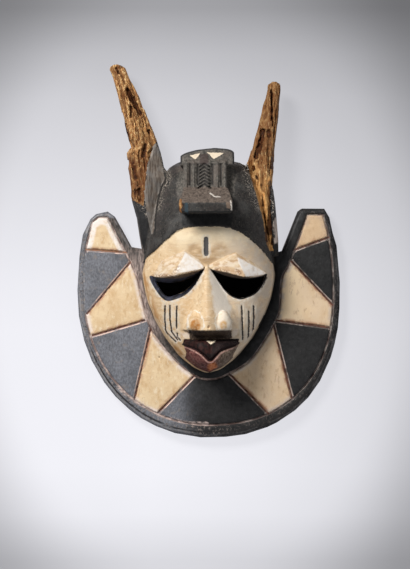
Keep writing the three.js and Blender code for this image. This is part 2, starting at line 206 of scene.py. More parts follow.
def outline_distance(x, y, points):
    """Distance to a closed outline, negative inside it."""
    closed = list(points) + [points[0]]
    inside = np.zeros(np.broadcast(x, y).shape, bool)
    for (x1, y1), (x2, y2) in zip(closed, closed[1:]):
        if y1 != y2:
            inside ^= ((y1 > y) != (y2 > y)) & (x < (x2 - x1) * (y - y1) / (y2 - y1) + x1)
    return np.where(inside, -1, 1) * line_distance(x, y, closed)


print("a smooth line through three places has", len(flowing([(0, 0), (9, 5), (20, 0)])), "points")

# %% [markdown]
# ## The collar
# A flat crescent of board, about as thick as a thumb, spreads round the chin and cheeks and
# ends in two tips. Two long incised lines and ten short spokes between them part the painted
# fields, and a shallower third line runs round the lower rim. The outline is a rounded
# crescent, so its lower half is one formula, and only the two tips are drawn by points.

# %% The collar's measures
HALF_HEIGHT = (cad_high.y - cad_low.y) / 2 / MM
HALF_WIDTH = (cad_high.x - cad_low.x) / 2 / MM
COLLAR_MIDDLE_Y = -55
COLLAR_DEPTH = HALF_HEIGHT + COLLAR_MIDDLE_Y
COLLAR_THICKNESS = 22
COLLAR_ROUNDING = 8
COLLAR_FULLNESS = {-1: 2.05, 1: 2.3}
COLLAR_UPPER_REACH = 285
COLLAR_TIP_Y = 58.5
NOTCH_X = 97
RIM_AT_SIDE = 9.2
RIM_AT_BOTTOM = 17
GROOVE_DEPTH = 3
GROOVE_HALF_WIDTH = 2.7
RIM_LINE_DEPTH, RIM_LINE_HALF_WIDTH = 1.6, 1.8
RIM_LINE_TOP_Y = -120
print(f"collar: {2 * HALF_WIDTH:.1f} mm across, {COLLAR_THICKNESS} mm thick")

# %% [markdown]
# ## The collar's outline
# The lower half is a rounded crescent, a little fuller on the right than on the left, as hand
# work is. The sides draw in slightly towards the tips, and the tips are drawn point by point.

# %% The collar's outline
def collar_quarter(side, half_width, depth, steps=40):
    """From the widest place on one side down to the lowest point."""
    power = COLLAR_FULLNESS[side]
    line = []
    for step in range(steps + 1):
        angle = step / steps * math.pi / 2
        across, down = max(math.cos(angle), 0), math.sin(angle)
        reach = (across ** power + down ** power) ** (-1 / power)
        line.append((side * half_width * across * reach, COLLAR_MIDDLE_Y - depth * down * reach))
    return line


def collar_round(half_width, depth):
    """The whole lower half, from the widest place on the left to that on the right."""
    return collar_quarter(-1, half_width, depth) + collar_quarter(1, half_width, depth)[::-1]


def collar_side_x(y):
    return HALF_WIDTH * math.sqrt(1 - ((y - COLLAR_MIDDLE_Y) / COLLAR_UPPER_REACH) ** 2)


left_shoulder = (-collar_side_x(24), 24)
right_shoulder = (collar_side_x(30) - 3, 30)
collar_outline = (
    flowing([(-95, 3), (-103.5, 7), (-110, 18), (-117, 30.5), (-122.5, 41), (-128, 49), (-134, 53.5)], 4)
    + flowing([(-139, 54), (-149, 52), (-155, 48.5), (-160, 42), (-165, 32), left_shoulder], 4)
    + [(-collar_side_x(y), y) for y in (8, -8, -30)]
    + collar_round(HALF_WIDTH, COLLAR_DEPTH)
    + [(collar_side_x(y), y) for y in (-30, -8, 8)]
    + bezier(right_shoulder, (163, 48), (159, 54), steps=5)
    + bezier((159, 54), (156, COLLAR_TIP_Y), (150, COLLAR_TIP_Y), steps=5)
    + bezier((127, COLLAR_TIP_Y), (122, COLLAR_TIP_Y), (119.5, 54), steps=5)
    + [(110, 28), (NOTCH_X + 1, 1), (72, -6), (-72, 2)]
)
print("collar outline:", len(collar_outline), "points")

# %% [markdown]
# ## The incised lines
# One line runs inside the rim and one round the face, and ten spokes join them at uneven
# distances. They are points on the plan, so that the knife and the brush can both use them.

# %% The incised lines of the collar
outer_line = (
    [(-135.6, 45.7), (-148, 46), (-156.7, 39.2), (-165, 3), (-167.5, -30)]
    + collar_round(HALF_WIDTH - RIM_AT_SIDE, COLLAR_DEPTH - RIM_AT_BOTTOM)
    + [(167, -30), (165, -7), (160, 25), (153.3, 49.8), (132.7, 49.8)]
)
inner_line = flowing([
    (-135.6, 45.7), (-122.6, 18.9), (-107, -10.3), (-96, -36), (-90.9, -58), (-77.5, -103.6),
    (-52, -138.5), (-19.8, -165.9), (5, -171), (27.6, -163.1), (55.4, -145.2), (79, -112),
    (94.3, -80.8), (97.6, -37.9), (110.4, -11), (132.7, 49.8),
])
spokes = [
    [(-110.4, -0.8), (-164.7, 3.1)],
    [(-105.1, -14.5), (-163.4, -83.4)],
    [(-86.1, -91.8), (-156.3, -112.5)],
    [(-77.6, -103), (-99.6, -198.2)],
    [(-19.3, -165.9), (-69.2, -217)],
    [(27.6, -163.1), (80.3, -217)],
    [(86.6, -98), (111.2, -196)],
    [(88, -91.3), (162, -101.5)],
    [(110.4, -12.6), (166.2, -71.7)],
    [(114, 2.3), (161, 19.5)],
]
grooves = [outer_line, inner_line] + spokes
rim_round = collar_round(HALF_WIDTH - 0.5 * RIM_AT_SIDE, COLLAR_DEPTH - 0.42 * RIM_AT_BOTTOM)
rim_line = [point for point in rim_round if point[1] < RIM_LINE_TOP_Y]
print("incised:", len(grooves), "lines and a rim line of", len(rim_line), "points")


def worn_line(x, y):
    """Where handling has nearly rubbed out the outer line, from 0 to 1."""
    return smooth_step(-140, -152, x) * smooth_step(-88, -76, y) * smooth_step(2, -8, y)


# %% [markdown]
# ## Cutting the board
# A knife line with sloping sides is a dip in the top of the board. The depth wanders a little, because
# the cut was made by hand in several strokes, and the wood between the lines swells slightly.

# %% Carve the collar
part, x, y, z = region((-180, -252, -3), (180, 62, 30))
plan_x, plan_y = x[:, :, 0], y[:, :, 0]
to_groove = lines_distance(plan_x, plan_y, grooves)
stroke = (1 + 0.25 * hills(plan_x, plan_y, 0, (22, 22, 1), 3)) * (1 - 0.7 * worn_line(plan_x, plan_y))
dip = GROOVE_DEPTH * stroke * (1 - smooth_step(0, GROOVE_HALF_WIDTH, to_groove))
to_rim_line = line_distance(plan_x, plan_y, rim_line)
dip += RIM_LINE_DEPTH * stroke * (1 - smooth_step(0, RIM_LINE_HALF_WIDTH, to_rim_line))
swell = 0.5 * smooth_step(0, 22, to_groove)
sway = 0.45 * hills(plan_x, plan_y, 0, (30, 30, 1), 4) + 0.2 * hills(plan_x, plan_y, 0, (9, 9, 1), 5)
board_top = (COLLAR_THICKNESS - 0.3 + swell + sway - dip)[:, :, None]
edge = outline_distance(plan_x, plan_y, collar_outline)[:, :, None]
board = soft_both(edge, z - board_top, COLLAR_ROUNDING)
board = soft_both(board, -z, 3)
body[part] = np.minimum(body[part], board)
print(f"collar carved, {time.time() - started:.1f} s")

# %% [markdown]
# ## The head
# Seen from the front, the head is an egg with a pointed chin and a squarer skull. Each place
# on the plan has a share, 0 in the middle of the face and 1 on the outline, and the depth of
# the dome is a formula of that share, the same as in the solid model.

# %% The head's measures
FACE_MIDDLE_Y = -30
HEAD_HALF_WIDTH = 88
JAW_LENGTH, JAW_ROUNDNESS = 131, 1.6
SKULL_LENGTH, SKULL_ROUNDNESS, SKULL_TAPER = 148, 6, 0.2
HEAD_EDGE_Z, CHEEK_Z, FOREHEAD_Z = 48, 92, 112
DOME_FULLNESS, DOME_SHOULDER = 3.2, 1.8
NECK_FLARE = 3.1
WALL = 13
HAIR_THICKNESS = 2.2
print(f"head: {2 * HEAD_HALF_WIDTH} mm wide, wall {WALL} mm")


def head_share(x, y, inset=0.0):
    rise = y - FACE_MIDDLE_Y
    up = np.maximum(rise, 0)
    half_width = HEAD_HALF_WIDTH - inset - SKULL_TAPER * up
    across = np.abs(x) / half_width
    along = up / (SKULL_LENGTH - inset)
    skull = (across ** SKULL_ROUNDNESS + along ** SKULL_ROUNDNESS) ** (1 / SKULL_ROUNDNESS)
    down = np.maximum(-rise, 0) / (JAW_LENGTH - inset)
    jaw = (across ** JAW_ROUNDNESS + down ** JAW_ROUNDNESS) ** (1 / JAW_ROUNDNESS)
    return np.where(rise > 0, skull, jaw)


def dome_z(share, y, inset=0.0):
    crown = CHEEK_Z + (FOREHEAD_Z - CHEEK_Z) * smooth_step(-70, 30, y) - inset
    edge_z = HEAD_EDGE_Z - inset
    fall = np.maximum(1 - np.minimum(share, 1) ** DOME_FULLNESS, 0) ** (1 / DOME_SHOULDER)
    return edge_z + (crown - edge_z) * fall


hairline = flowing([
    (-130, -26), (-92, -17), (-80, -6.7), (-70, 0.7), (-53.3, 15.7), (-34, 28.3), (-1, 31.5),
    (32, 27.6), (56, 12.7), (73.6, -3.7), (86, -17), (130, -30),
])
bare_face = hairline + [(130, -200), (-130, -200)]


def hairline_distance(x, y):
    """Distance past the hairline, positive on the cap of hair."""
    return outline_distance(x, y, bare_face)


# %% [markdown]
# ## From a height to a distance
# A formula for a surface isn't a distance yet: where it is steep it changes too fast. Dividing
# by its slope mends that near the surface, which is the only place where it matters.

# %% Distance to a dome
def dome_distance(x, y, z, inset=0.0, flare=0.0, dents=0.0):
    share = head_share(x[:, :, 0], y[:, :, 0], inset)
    height = dome_z(share, y[:, :, 0], inset) - dents
    slopes = np.hypot(*np.gradient(height, VOXEL))
    top = (z - height[:, :, None]) / np.sqrt(1 + np.minimum(slopes, 3) ** 2)[:, :, None]
    share_slopes = np.hypot(*np.gradient(share, VOXEL))
    wall = ((share - 1) / np.maximum(share_slopes, 0.004))[:, :, None]
    wall = wall - flare * np.clip(1 - z / HEAD_EDGE_Z, 0, 1)
    return soft_both(top, wall, 5)


print(f"the dome is {dome_z(0.0, 30):.0f} mm high at the forehead, {dome_z(0.0, -70):.0f} mm at the cheeks")

# %% [markdown]
# ## The cut marks
# The cheeks carry three upright cuts each, and the forehead one. They follow the dome, so they
# are made as dents in its height, like the lines on the collar. The innermost cut on the left
# cheek breaks off and goes on lower down, so it is drawn as two strokes.

# %% The cut marks on the face
left_marks = [
    [(-57.4, -72), (-57.8, -88), (-57, -104)], [(-50.9, -71.6), (-51, -89.5), (-48.8, -106)],
    [(-41.9, -72.5), (-42.3, -89.5), (-42.1, -101)], [(-41.6, -108), (-41.2, -111)],
]
right_marks = [
    [(43, -72), (43.8, -92), (44.6, -116)], [(52.3, -79), (52.8, -92.2), (52, -117)],
    [(58.7, -72), (59.3, -86.8), (58, -112)],
]
forehead_mark = [(-3.5, 15), (-3.5, -4)]
CHEEK_CUT_HALF_WIDTH, FOREHEAD_CUT_HALF_WIDTH, CUT_DEPTH = 1.1, 3.0, 2.0


def mark_distance(x, y):
    """Distance to the nearest cut's edge, negative inside the cut."""
    cheeks = lines_distance(x, y, left_marks + right_marks) - CHEEK_CUT_HALF_WIDTH
    return np.minimum(cheeks, line_distance(x, y, forehead_mark) - FOREHEAD_CUT_HALF_WIDTH)


print(len(left_marks + right_marks), "strokes on the cheeks")

# %% [markdown]
# ## Carving the head
# The cap of hair is the same dome, thicker by two millimetres and cut off at the hairline. The
# wall flares a little towards the board, where the carver left a soft neck.

# %% Carve the head and its cap
part, x, y, z = region((-98, -168, -3), (98, 126, 122))
plan_x, plan_y = x[:, :, 0], y[:, :, 0]
mark_dents = CUT_DEPTH * (1 - smooth_step(-1.6, 0.8, mark_distance(plan_x, plan_y)))
chisel = 0.5 * hills(plan_x, plan_y, 0, (26, 26, 1), 11) + 0.3 * hills(plan_x, plan_y, 0, (11, 11, 1), 12)
head = dome_distance(x, y, z, flare=NECK_FLARE, dents=mark_dents + chisel)
past_hairline = hairline_distance(plan_x, plan_y)[:, :, None]
cap = soft_both(head - HAIR_THICKNESS, -past_hairline, 2)
head = soft_union(head, cap, 0.8)
head = soft_both(head, -z, 2)
body[part] = soft_union(body[part], head, 4)
print(f"head carved, {time.time() - started:.1f} s")

# %% [markdown]
# ## Faceted forms
# The lids, the lips and the crest were cut with straight strokes, so they are solids with flat
# faces and slightly rounded arrises. Each is given by its corners: the faces of the smallest
# hull round them are planes, and the distance to a plane is one line of arithmetic.

# %% A solid from its corners
def hull_planes(corners):
    shell = bmesh.new()
    for corner in corners:
        shell.verts.new(corner)
    bmesh.ops.convex_hull(shell, input=shell.verts)
    middle = Vector(np.mean(corners, axis=0))
    planes = set()
    for face in shell.faces:
        face.normal_update()
        normal = face.normal
        if normal.length > 0.5:
            if normal.dot(face.verts[0].co - middle) < 0:
                normal = -normal
            planes.add(tuple(round(v, 2) for v in (*normal, normal.dot(face.verts[0].co))))
    shell.free()
    return sorted(planes)


def hull_distance(x, y, z, corners, arris):
    field = None
    for a, b, c, offset in hull_planes(corners):
        plane = a * x + b * y + c * z - offset
        field = plane if field is None else soft_both(field, plane, arris)
    return field


def add_hull(corners, arris=1.5, blend=1.5):
    low, high = np.min(corners, axis=0) - 4, np.max(corners, axis=0) + 4
    part, x, y, z = region(low, high)
    body[part] = soft_union(body[part], hull_distance(x, y, z, corners, arris), blend)


box = [(i, j, k) for i in (0, 1) for j in (0, 1) for k in (0, 1)]
print("a box from its corners has", len(hull_planes(box)), "planes")

# %% [markdown]
# ## The lids
# Each lid is a faceted wedge that stands out over the eye like a small roof.

# %% Carve the lids
LID_EDGE_Z = 117
LIDS = [
    [
        (-77, -33, 83), (-61, -14, 95), (-32, -0.5, 107), (-14, -12, 105), (-5, -20, 104),
        (-6.5, -23.5, 106), (-25, -27.5, LID_EDGE_Z - 4), (-44, -32.5, LID_EDGE_Z), (-64, -34.5, 98),
        (-24, -33, 90), (-41, -41, 86), (-64, -39, 80), (-40, -8, 84),
    ],
    [
        (78, -31, 83), (60, -17, 95), (34, -3, 107), (14, -11.5, 105), (-1, -20, 104),
        (1, -25, 106), (20, -28, LID_EDGE_Z - 4), (46, -34.5, LID_EDGE_Z), (63, -32.5, 98),
        (24, -33, 90), (41, -41, 86), (64, -39, 80), (40, -10, 84),
    ],
]

for corners in LIDS:
    add_hull(corners, arris=0.7, blend=0.8)
print("lids carved")

# %% [markdown]
# ## The nose
# A long three-sided nose: a ridge that climbs from between the eyes to the tip, sides that
# spread to the wings, and a flat underside. Two rounded lobes make the wings. A ball squeezed
# to three radii is the plainest form for a lobe, and it is cut flat below with the nose.

# %% Carve the nose
NOSE_X, NOSE_TOP_Y, NOSE_BASE_Y = 2.5, -19, -103.5
NOSE_BRIDGE_Z, NOSE_TIP_Z = 103, 127
NOSE_HALF_WIDTH, BRIDGE_HALF_WIDTH = 29, 9
NOSE_SIDE_DROP, BRIDGE_DROP = 31, 9
LOBES = {-1: (-17.6, -93), 1: (18.9, -92.5)}
LOBE_Z = {-1: 103, 1: 107}
LOBE_RADII = (11.2, 15.5, 13)


def nose_top(x, y):
    down = np.clip((NOSE_TOP_Y - y) / (NOSE_TOP_Y - NOSE_BASE_Y - 9), 0, 1)
    ridge = NOSE_BRIDGE_Z + (NOSE_TIP_Z - NOSE_BRIDGE_Z) * down
    half_width = BRIDGE_HALF_WIDTH + (NOSE_HALF_WIDTH - BRIDGE_HALF_WIDTH) * down ** 1.1
    drop = BRIDGE_DROP + (NOSE_SIDE_DROP - BRIDGE_DROP) * down
    flat = 2 + 3.5 * down
    ridge_x = 1.5 * down - 3
    foot_x = ridge_x + (NOSE_X - ridge_x) * down
    left = (ridge_x - flat - x) / (half_width - flat + ridge_x - foot_x)
    right = (x - ridge_x - flat) / (half_width - flat + foot_x - ridge_x)
    side = np.maximum(left, right)
    side = 0.5 * (side + np.sqrt(side ** 2 + 0.09)) - 0.06
    return ridge - drop * side - 20 * np.maximum(down - 0.9, 0)


def ball_distance(x, y, z, middle, radii):
    """Near enough to a distance for a ball squeezed to three radii."""
    shares = [(axis - centre) / radius for axis, centre, radius in zip((x, y, z), middle, radii)]
    length = np.sqrt(shares[0] ** 2 + shares[1] ** 2 + shares[2] ** 2)
    return (length - 1) * min(radii)


part, x, y, z = region((-36, -118, 80), (40, -8, 134))
nose = (z - nose_top(x, y)) * 0.72
nose = soft_both(nose, NOSE_BASE_Y - y, 1.2)
nose = soft_both(nose, y - NOSE_TOP_Y - 1, 4)
for side, (lobe_x, lobe_y) in LOBES.items():
    narrowing = 1 + 0.35 * np.clip((y - lobe_y) / LOBE_RADII[1], -0.4, 1)
    lobe = ball_distance((x - lobe_x) * narrowing, y, z, (0, lobe_y, LOBE_Z[side]), LOBE_RADII)
    nose = soft_union(nose, soft_both(lobe, NOSE_BASE_Y + 0.5 - y, 1), 0.6)
body[part] = soft_union(body[part], nose, 1.5)

# A small block fills the corner between the nose's flat underside and the face.
under_nose = []
for side in (-1, 1):
    under_nose.append((NOSE_X + side * (NOSE_HALF_WIDTH - 1), NOSE_BASE_Y + 1, 97))
    under_nose.append((NOSE_X + side * (NOSE_HALF_WIDTH - 6), NOSE_BASE_Y - 9, 84))
    under_nose.append((NOSE_X + side * (NOSE_HALF_WIDTH - 6), NOSE_BASE_Y + 8, 84))
    under_nose.append((NOSE_X + side * 6, NOSE_BASE_Y + 1, 116))
add_hull(under_nose, arris=1.5, blend=1)
print("nose carved")

# %% [markdown]
# ## The mouth
# The upper lip comes down to a point in the middle, and the full lower lip lies under it like
# a bowl. A knife line between them follows the same point.

# %% Carve the lips
MOUTH_X, MOUTH_TOP_Y, MOUTH_DIP_Y = 2.5, -117.5, -142
MOUTH_HALF_WIDTH, LIP_Z = 35, 112


def upper_lip(side):
    return [
        (MOUTH_X + side * MOUTH_HALF_WIDTH, MOUTH_TOP_Y, 88),
        (MOUTH_X + side * MOUTH_HALF_WIDTH, MOUTH_TOP_Y - 9, 88),
        (MOUTH_X + side * 22, MOUTH_TOP_Y, 102), (MOUTH_X, MOUTH_TOP_Y, LIP_Z - 6),
        (MOUTH_X + side * 12, MOUTH_DIP_Y + 9, LIP_Z), (MOUTH_X, MOUTH_DIP_Y, LIP_Z),
        (MOUTH_X + side * MOUTH_HALF_WIDTH, MOUTH_TOP_Y - 4, 70),
        (MOUTH_X, MOUTH_TOP_Y, 70), (MOUTH_X, MOUTH_DIP_Y, 70),
    ]


def lower_lip():
    corners = []
    for step in range(13):
        angle = math.pi * (1 + step / 12)
        across, down = math.cos(angle), math.sin(angle)
        corners.append((MOUTH_X + 33 * across, MOUTH_DIP_Y + 13 + 28.5 * down, LIP_Z - 27))
        corners.append((MOUTH_X + 28 * across, MOUTH_DIP_Y + 12 + 24 * down, LIP_Z - 10))
        corners.append((MOUTH_X + 19 * across, MOUTH_DIP_Y + 11 + 17 * down, LIP_Z - 3))
    return corners


add_hull(lower_lip(), arris=5, blend=2)
for side in (-1, 1):
    add_hull(upper_lip(side), arris=3, blend=1.5)
print("lips carved")

# %% [markdown]
# ## Lines cut last
# A line cut into a finished form is a dent of known depth. Adding that depth to the distances
# near the line sinks the surface by the same amount, whichever way the surface leans.

# %% Cut the mouth line and the pit in the nose's tip
mouth_line = flowing([
    (-34, -122.5), (-18, -127.8), (-7.6, -134.3), (1.5, -142.5), (9.3, -135.6), (17, -129),
    (31.5, -124), (39, -121),
])
nose_pit = [(-0.3, -98.6), (-0.2, -99.6)]


def engrave(low, high, lines, depth, flat, reach):
    """Sink lines between two corners: all of the depth within flat mm, none beyond reach mm."""
    part, x, y, z = region(low, high)
    away = lines_distance(x[:, :, 0], y[:, :, 0], lines)
    body[part] += (depth * (1 - smooth_step(flat, reach, away)))[:, :, None]


engrave((-38, -162, 78), (44, -110, 122), [mouth_line], 3, 0, 2.2)
engrave((-6, -104, 112), (6, -92, 132), [nose_pit], 2, 0.4, 2)
print(f"mouth line and nose pit cut, {time.time() - started:.1f} s")

# %% [markdown]
# ## The crest
# Above the brow stands a block. Its ledge juts out over the forehead. From the ledge a panel
# slopes back to a rounded band. Panel and ledge have flat faces, so they are made from corners,
# and the band from its outline.

# %% Carve the crest block
CREST_X, CREST_HALF_WIDTH = -5, 28
CREST_TOP_Y, CREST_TOP_Z = 116, 99
CREST_FOOT_Y, CREST_FOOT_Z = 82, 117
CREST_BAND_TOP_Y, CREST_BAND_HALF_WIDTH = 134, 35
LEDGE_X, LEDGE_HALF_WIDTH, LEDGE_FRONT_Y, LEDGE_LIP_Y = -3.8, 35, 61, 47
LEDGE_Z = (cad_high.z / MM) - 0.4

panel = []
ledge = []
for x in (CREST_X - CREST_HALF_WIDTH, CREST_X + CREST_HALF_WIDTH):
    panel += [(x, CREST_TOP_Y + 2, CREST_TOP_Z), (x, CREST_FOOT_Y, CREST_FOOT_Z)]
    panel += [(x, CREST_FOOT_Y - 8, CREST_FOOT_Z), (x, CREST_TOP_Y + 2, 60), (x, CREST_FOOT_Y - 8, 90)]
for side in (-1, 1):
    ledge.append((LEDGE_X + side * (LEDGE_HALF_WIDTH - 7), CREST_FOOT_Y, CREST_FOOT_Z + 1))
    ledge.append((LEDGE_X + side * LEDGE_HALF_WIDTH, LEDGE_FRONT_Y, LEDGE_Z))
    ledge.append((LEDGE_X + side * (LEDGE_HALF_WIDTH - 2), LEDGE_LIP_Y, LEDGE_Z - 2))
    ledge.append((LEDGE_X + side * (LEDGE_HALF_WIDTH - 5), LEDGE_LIP_Y + 2, 100))
add_hull(panel, arris=1.5, blend=2)

band_plan = (
    [(-CREST_BAND_HALF_WIDTH - 2, 111), (CREST_BAND_HALF_WIDTH - 2, 111)]
    + bezier((33, CREST_BAND_TOP_Y - 6), (31, CREST_BAND_TOP_Y), (6, CREST_BAND_TOP_Y), steps=6)
    + bezier((6, CREST_BAND_TOP_Y), (-26, CREST_BAND_TOP_Y - 2), (-37, CREST_BAND_TOP_Y - 10), steps=6)[1:]
)
part, x, y, z = region((-42, 106, 56), (38, 138, 102))
band = outline_distance(x[:, :, 0], y[:, :, 0], band_plan)[:, :, None]
band = soft_both(band, z - (CREST_TOP_Z - 2), 3)
band = soft_both(band, 60 - z, 2)
body[part] = soft_union(body[part], band, 2)
print("crest: panel and band carved,", len(ledge), "corners for the ledge")

# %% [markdown]
# ## Ribs and chevrons
# Four narrow ribs and one wide column stand on the sloping panel, so their tops lie parallel to
# it. The chevrons on the column, the thin upright lines and the wave on the ledge are knife
# cuts, sunk like the mouth line once the ledge is on.

# %% Carve the ribs and the ledge, and cut the chevrons
CHEVRON_COUNT, CHEVRON_PITCH = 7, 4.5
RIB_PLACES = (-29.3, -19.6, 10.9, 20.6)
UPRIGHT_CUTS = ((-24.5, 113, 85), (15.8, 113, 85), (-14.5, 112, 86), (4.8, 112, 86))
WAVE_Y, WAVE_HEIGHT = 70.5, 2.6
column_x = CREST_X - 0.5


def panel_height(y):
    slope = (CREST_FOOT_Z - CREST_TOP_Z) * (CREST_TOP_Y - y) / (CREST_TOP_Y - CREST_FOOT_Y)
    return CREST_TOP_Z + slope


def add_bars(lines, half_width, rise, arris):
    part, x, y, z = region((-36, 78, 90), (28, 120, 124))
    plan = lines_distance(x[:, :, 0], y[:, :, 0], lines)
    top = (z - panel_height(y) - rise) * 0.88
    bars = soft_both((plan - half_width)[:, :, None], top, arris)
    bars = np.maximum(bars, 92 - z)
    body[part] = soft_union(body[part], bars, 1)


ribs = [[(rib_x, CREST_TOP_Y - 1), (rib_x, CREST_FOOT_Y + 1)] for rib_x in RIB_PLACES]
column = [(column_x, CREST_TOP_Y - 1), (column_x, CREST_FOOT_Y + 3)]
add_bars(ribs, 1.5, 3, 1.2)
add_bars([column], 7.5, 2.8, 1)
add_hull(ledge, arris=3, blend=2)
crest_cuts = [[(cut_x, upper), (cut_x, lower)] for cut_x, upper, lower in UPRIGHT_CUTS]
for i in range(CHEVRON_COUNT):
    peak_y = CREST_TOP_Y - 3 - i * CHEVRON_PITCH
    crest_cuts.append([(column_x - 8, peak_y - 5.5), (column_x, peak_y), (column_x + 8, peak_y - 5.5)])
wave_line = [(x, WAVE_Y + WAVE_HEIGHT * math.sin(x * 0.62)) for x in range(-36, 28)]
engrave((-36, 80, 88), (28, 120, 128), crest_cuts, 2.4, 0.3, 2.0)
engrave((-40, 60, 112), (30, 82, 156), [wave_line], 1.1, 0.3, 1.9)
print(f"crest carved, {time.time() - started:.1f} s")

# %% [markdown]
# ## The horns
# Two posts rise beside the head and lean outwards. Both are broken, and insects have eaten
# the softer fibres, so their bare faces are full of long channels that follow the grain.
# A horn is a stack of eight-sided slices: at each height we know its outer and inner side and
# how far forward it stands, and the slices between are found by interpolation.

# %% The horns' measures
HORN_BACK_Z = 8
LEFT_HORN = [
    (-6, -88, -66, 46), (18, -92, -62, 55), (45, -96, -58, 60), (73, -104, -54, 62),
    (98, -107, -50, 62), (112, -108.5, -60.5, 61), (131, -109, -64.5, 60), (138, -104.5, -67, 59),
    (151, -108, -71, 57), (184, -116.5, -84, 52), (212, -122.5, -96, 47), (233, -128, -107, 42),
    (243, -132.5, -110.5, 40), (HALF_HEIGHT, -132.5, -114, 37),
]
RIGHT_HORN = [
    (-6, 93, 74, 53), (15, 92.5, 66, 60), (47, 90, 58, 64), (71, 87.5, 52, 65), (86, 85, 47, 64),
    (107, 86.5, 47, 62), (118, 87, 51.6, 60), (137, 88.5, 58, 58), (160, 90.8, 64.5, 55),
    (179, 92.8, 69.2, 52), (207, 95.2, 75.5, 47), (216, 96, 77.5, 44), (226, 96, 78.5, 40),
]
HORN_SLICE = [(0, 0.5), (0.1, 0.9), (0.42, 1), (0.8, 0.8), (1, 0.66), (1, 0.4), (0.72, 0.05), (0.3, 0)]


def horn_place(x, y, stations):
    """For places on the plan: mm in from the outer side, and the horn's width there."""
    heights = [station[0] for station in stations]
    outer = np.interp(y, heights, [station[1] for station in stations])
    inner = np.interp(y, heights, [station[2] for station in stations])
    hand = 1 if stations[0][2] > stations[0][1] else -1
    return (x - outer) * hand, np.abs(inner - outer)


def horn_back(y):
    return HORN_BACK_Z + 16 * np.maximum(0, (y - 90) / 160)


def horn_front(inward, width, y, stations):
    """How far forward the horn stands, before any damage."""
    depth = np.interp(y, [station[0] for station in stations], [station[3] for station in stations])
    front_line = [(u, v) for u, v in HORN_SLICE if v > 0.45]
    forward = np.interp(inward / np.maximum(width, 1), *zip(*front_line))
    return horn_back(y) + forward * (depth - horn_back(y))


def horn_distance(x, y, z, stations):
    heights = [station[0] for station in stations]
    inward, width = horn_place(x, y, stations)
    back = horn_back(y)
    depth = np.interp(y, heights, [station[3] for station in stations]) - back
    field = None
    for (u1, v1), (u2, v2) in zip(HORN_SLICE, HORN_SLICE[1:] + HORN_SLICE[:1]):
        across, along = (u2 - u1) * width, (v2 - v1) * depth
        plane = ((z - back - v1 * depth) * across - (inward - u1 * width) * along) / np.hypot(across, along)
        field = plane if field is None else soft_both(field, plane, 3)
    return field - 0.8


print("stations: left horn", len(LEFT_HORN), "and right horn", len(RIGHT_HORN))

# %% [markdown]
# ## Eaten wood
# Where the paint is gone, the bare fibres are tunnelled. The outlines below are the bare faces
# as seen from the front, and each long hollow is a line with a half width and a depth in mm.
# Between them, random hills stretched along the grain make the smaller channels.

# %% Where the wood is bare and eaten
BARE_LEFT = [
    (-150, 70.5), (-102.3, 68.6), (-85.8, 59.5), (-84.7, 81), (-81.8, 112), (-74.5, 140),
    (-64, 152), (-40, 262), (-150, 262),
]
BARE_RIGHT = [
    (30, 262), (30, 118), (51.9, 117), (55.2, 96.6), (61.2, 78), (67.8, 54.3), (72.1, 37.5),
    (74.7, 12.4), (80, 1), (87, -1), (85, 4), (82.3, 48), (81, 75), (83, 87), (92, 96),
    (140, 100), (140, 262),
]
TUNNELS_LEFT = [
    ([(-108.5, 216), (-102, 203), (-91.5, 183)], 2.3, 9), ([(-104, 192), (-103, 178)], 1.6, 6),
    ([(-123.5, 245), (-121, 238)], 1.6, 7), ([(-80.5, 160), (-78, 154)], 1.4, 7),
    ([(-99, 112), (-97, 97)], 2.4, 5), ([(-101.5, 129), (-100.5, 112)], 1.3, 4),
    ([(-84, 142), (-87, 126)], 2, 5), ([(-91.5, 82), (-90.5, 68)], 2, 4),
    ([(-98.2, 78), (-98, 76)], 1.5, 5), ([(-95, 162), (-92, 148)], 1.6, 3),
]
TUNNELS_RIGHT = [
    ([(83, 215), (84.8, 166.5)], 0.95, 10), ([(71, 160), (69, 145), (65.5, 131)], 2.2, 9),
    ([(66, 140), (63.5, 125)], 2.6, 9), ([(79.3, 158), (79.3, 153)], 2.6, 6),
    ([(79.5, 150), (78.8, 128)], 1.8, 3), ([(58.5, 112), (59.5, 109)], 2.2, 6),
    ([(63.5, 99), (64.5, 96)], 1.6, 5), ([(84.5, 123), (84, 110)], 1.8, 6),
    ([(73.5, 50), (76.5, 13.5)], 1.4, 6), ([(82, 84), (83, 50), (84, 10)], 1.8, 5),
    ([(69, 88), (71.5, 60)], 1.2, 4),
]


def tunnel_depth(x, y, tunnels):
    """How deep the traced hollows are at a place on the plan, in mm."""
    wander = 1.2 * hills(x, y, 0, (3, 7, 1), 20) + 0.7 * hills(x, y, 0, (1.6, 3, 1), 19)
    deepest = np.zeros(np.broadcast(x, y).shape, np.float32)
    for line, half_width, depth in tunnels:
        away = line_distance(x, y, line) + wander
        deepest = np.maximum(deepest, depth * (1 - smooth_step(0.3 * half_width, 1.7 * half_width, away)))
    return deepest


def horn_channels(inward, y, z, side):
    """Small worm channels along the grain, from 0 to 1."""
    wide = smooth_step(0.1, 0.6, hills(inward, y, z, (3.4, 30, 8), 31 + side))
    narrow = smooth_step(0.15, 0.6, hills(inward, y, z, (2.0, 13, 4), 35 + side))
    return np.maximum(wide, 0.75 * narrow)


print("traced hollows:", len(TUNNELS_LEFT), "left and", len(TUNNELS_RIGHT), "right")

# %% [markdown]
# ## Carving the horns
# First the sound horn, then the damage: channels sink its bare faces, the traced hollows are
# cut from the front, and a ragged line tears off its top. Where paint is left, it stays sound.

# %% Carve the horns
FOOT_Y = -6


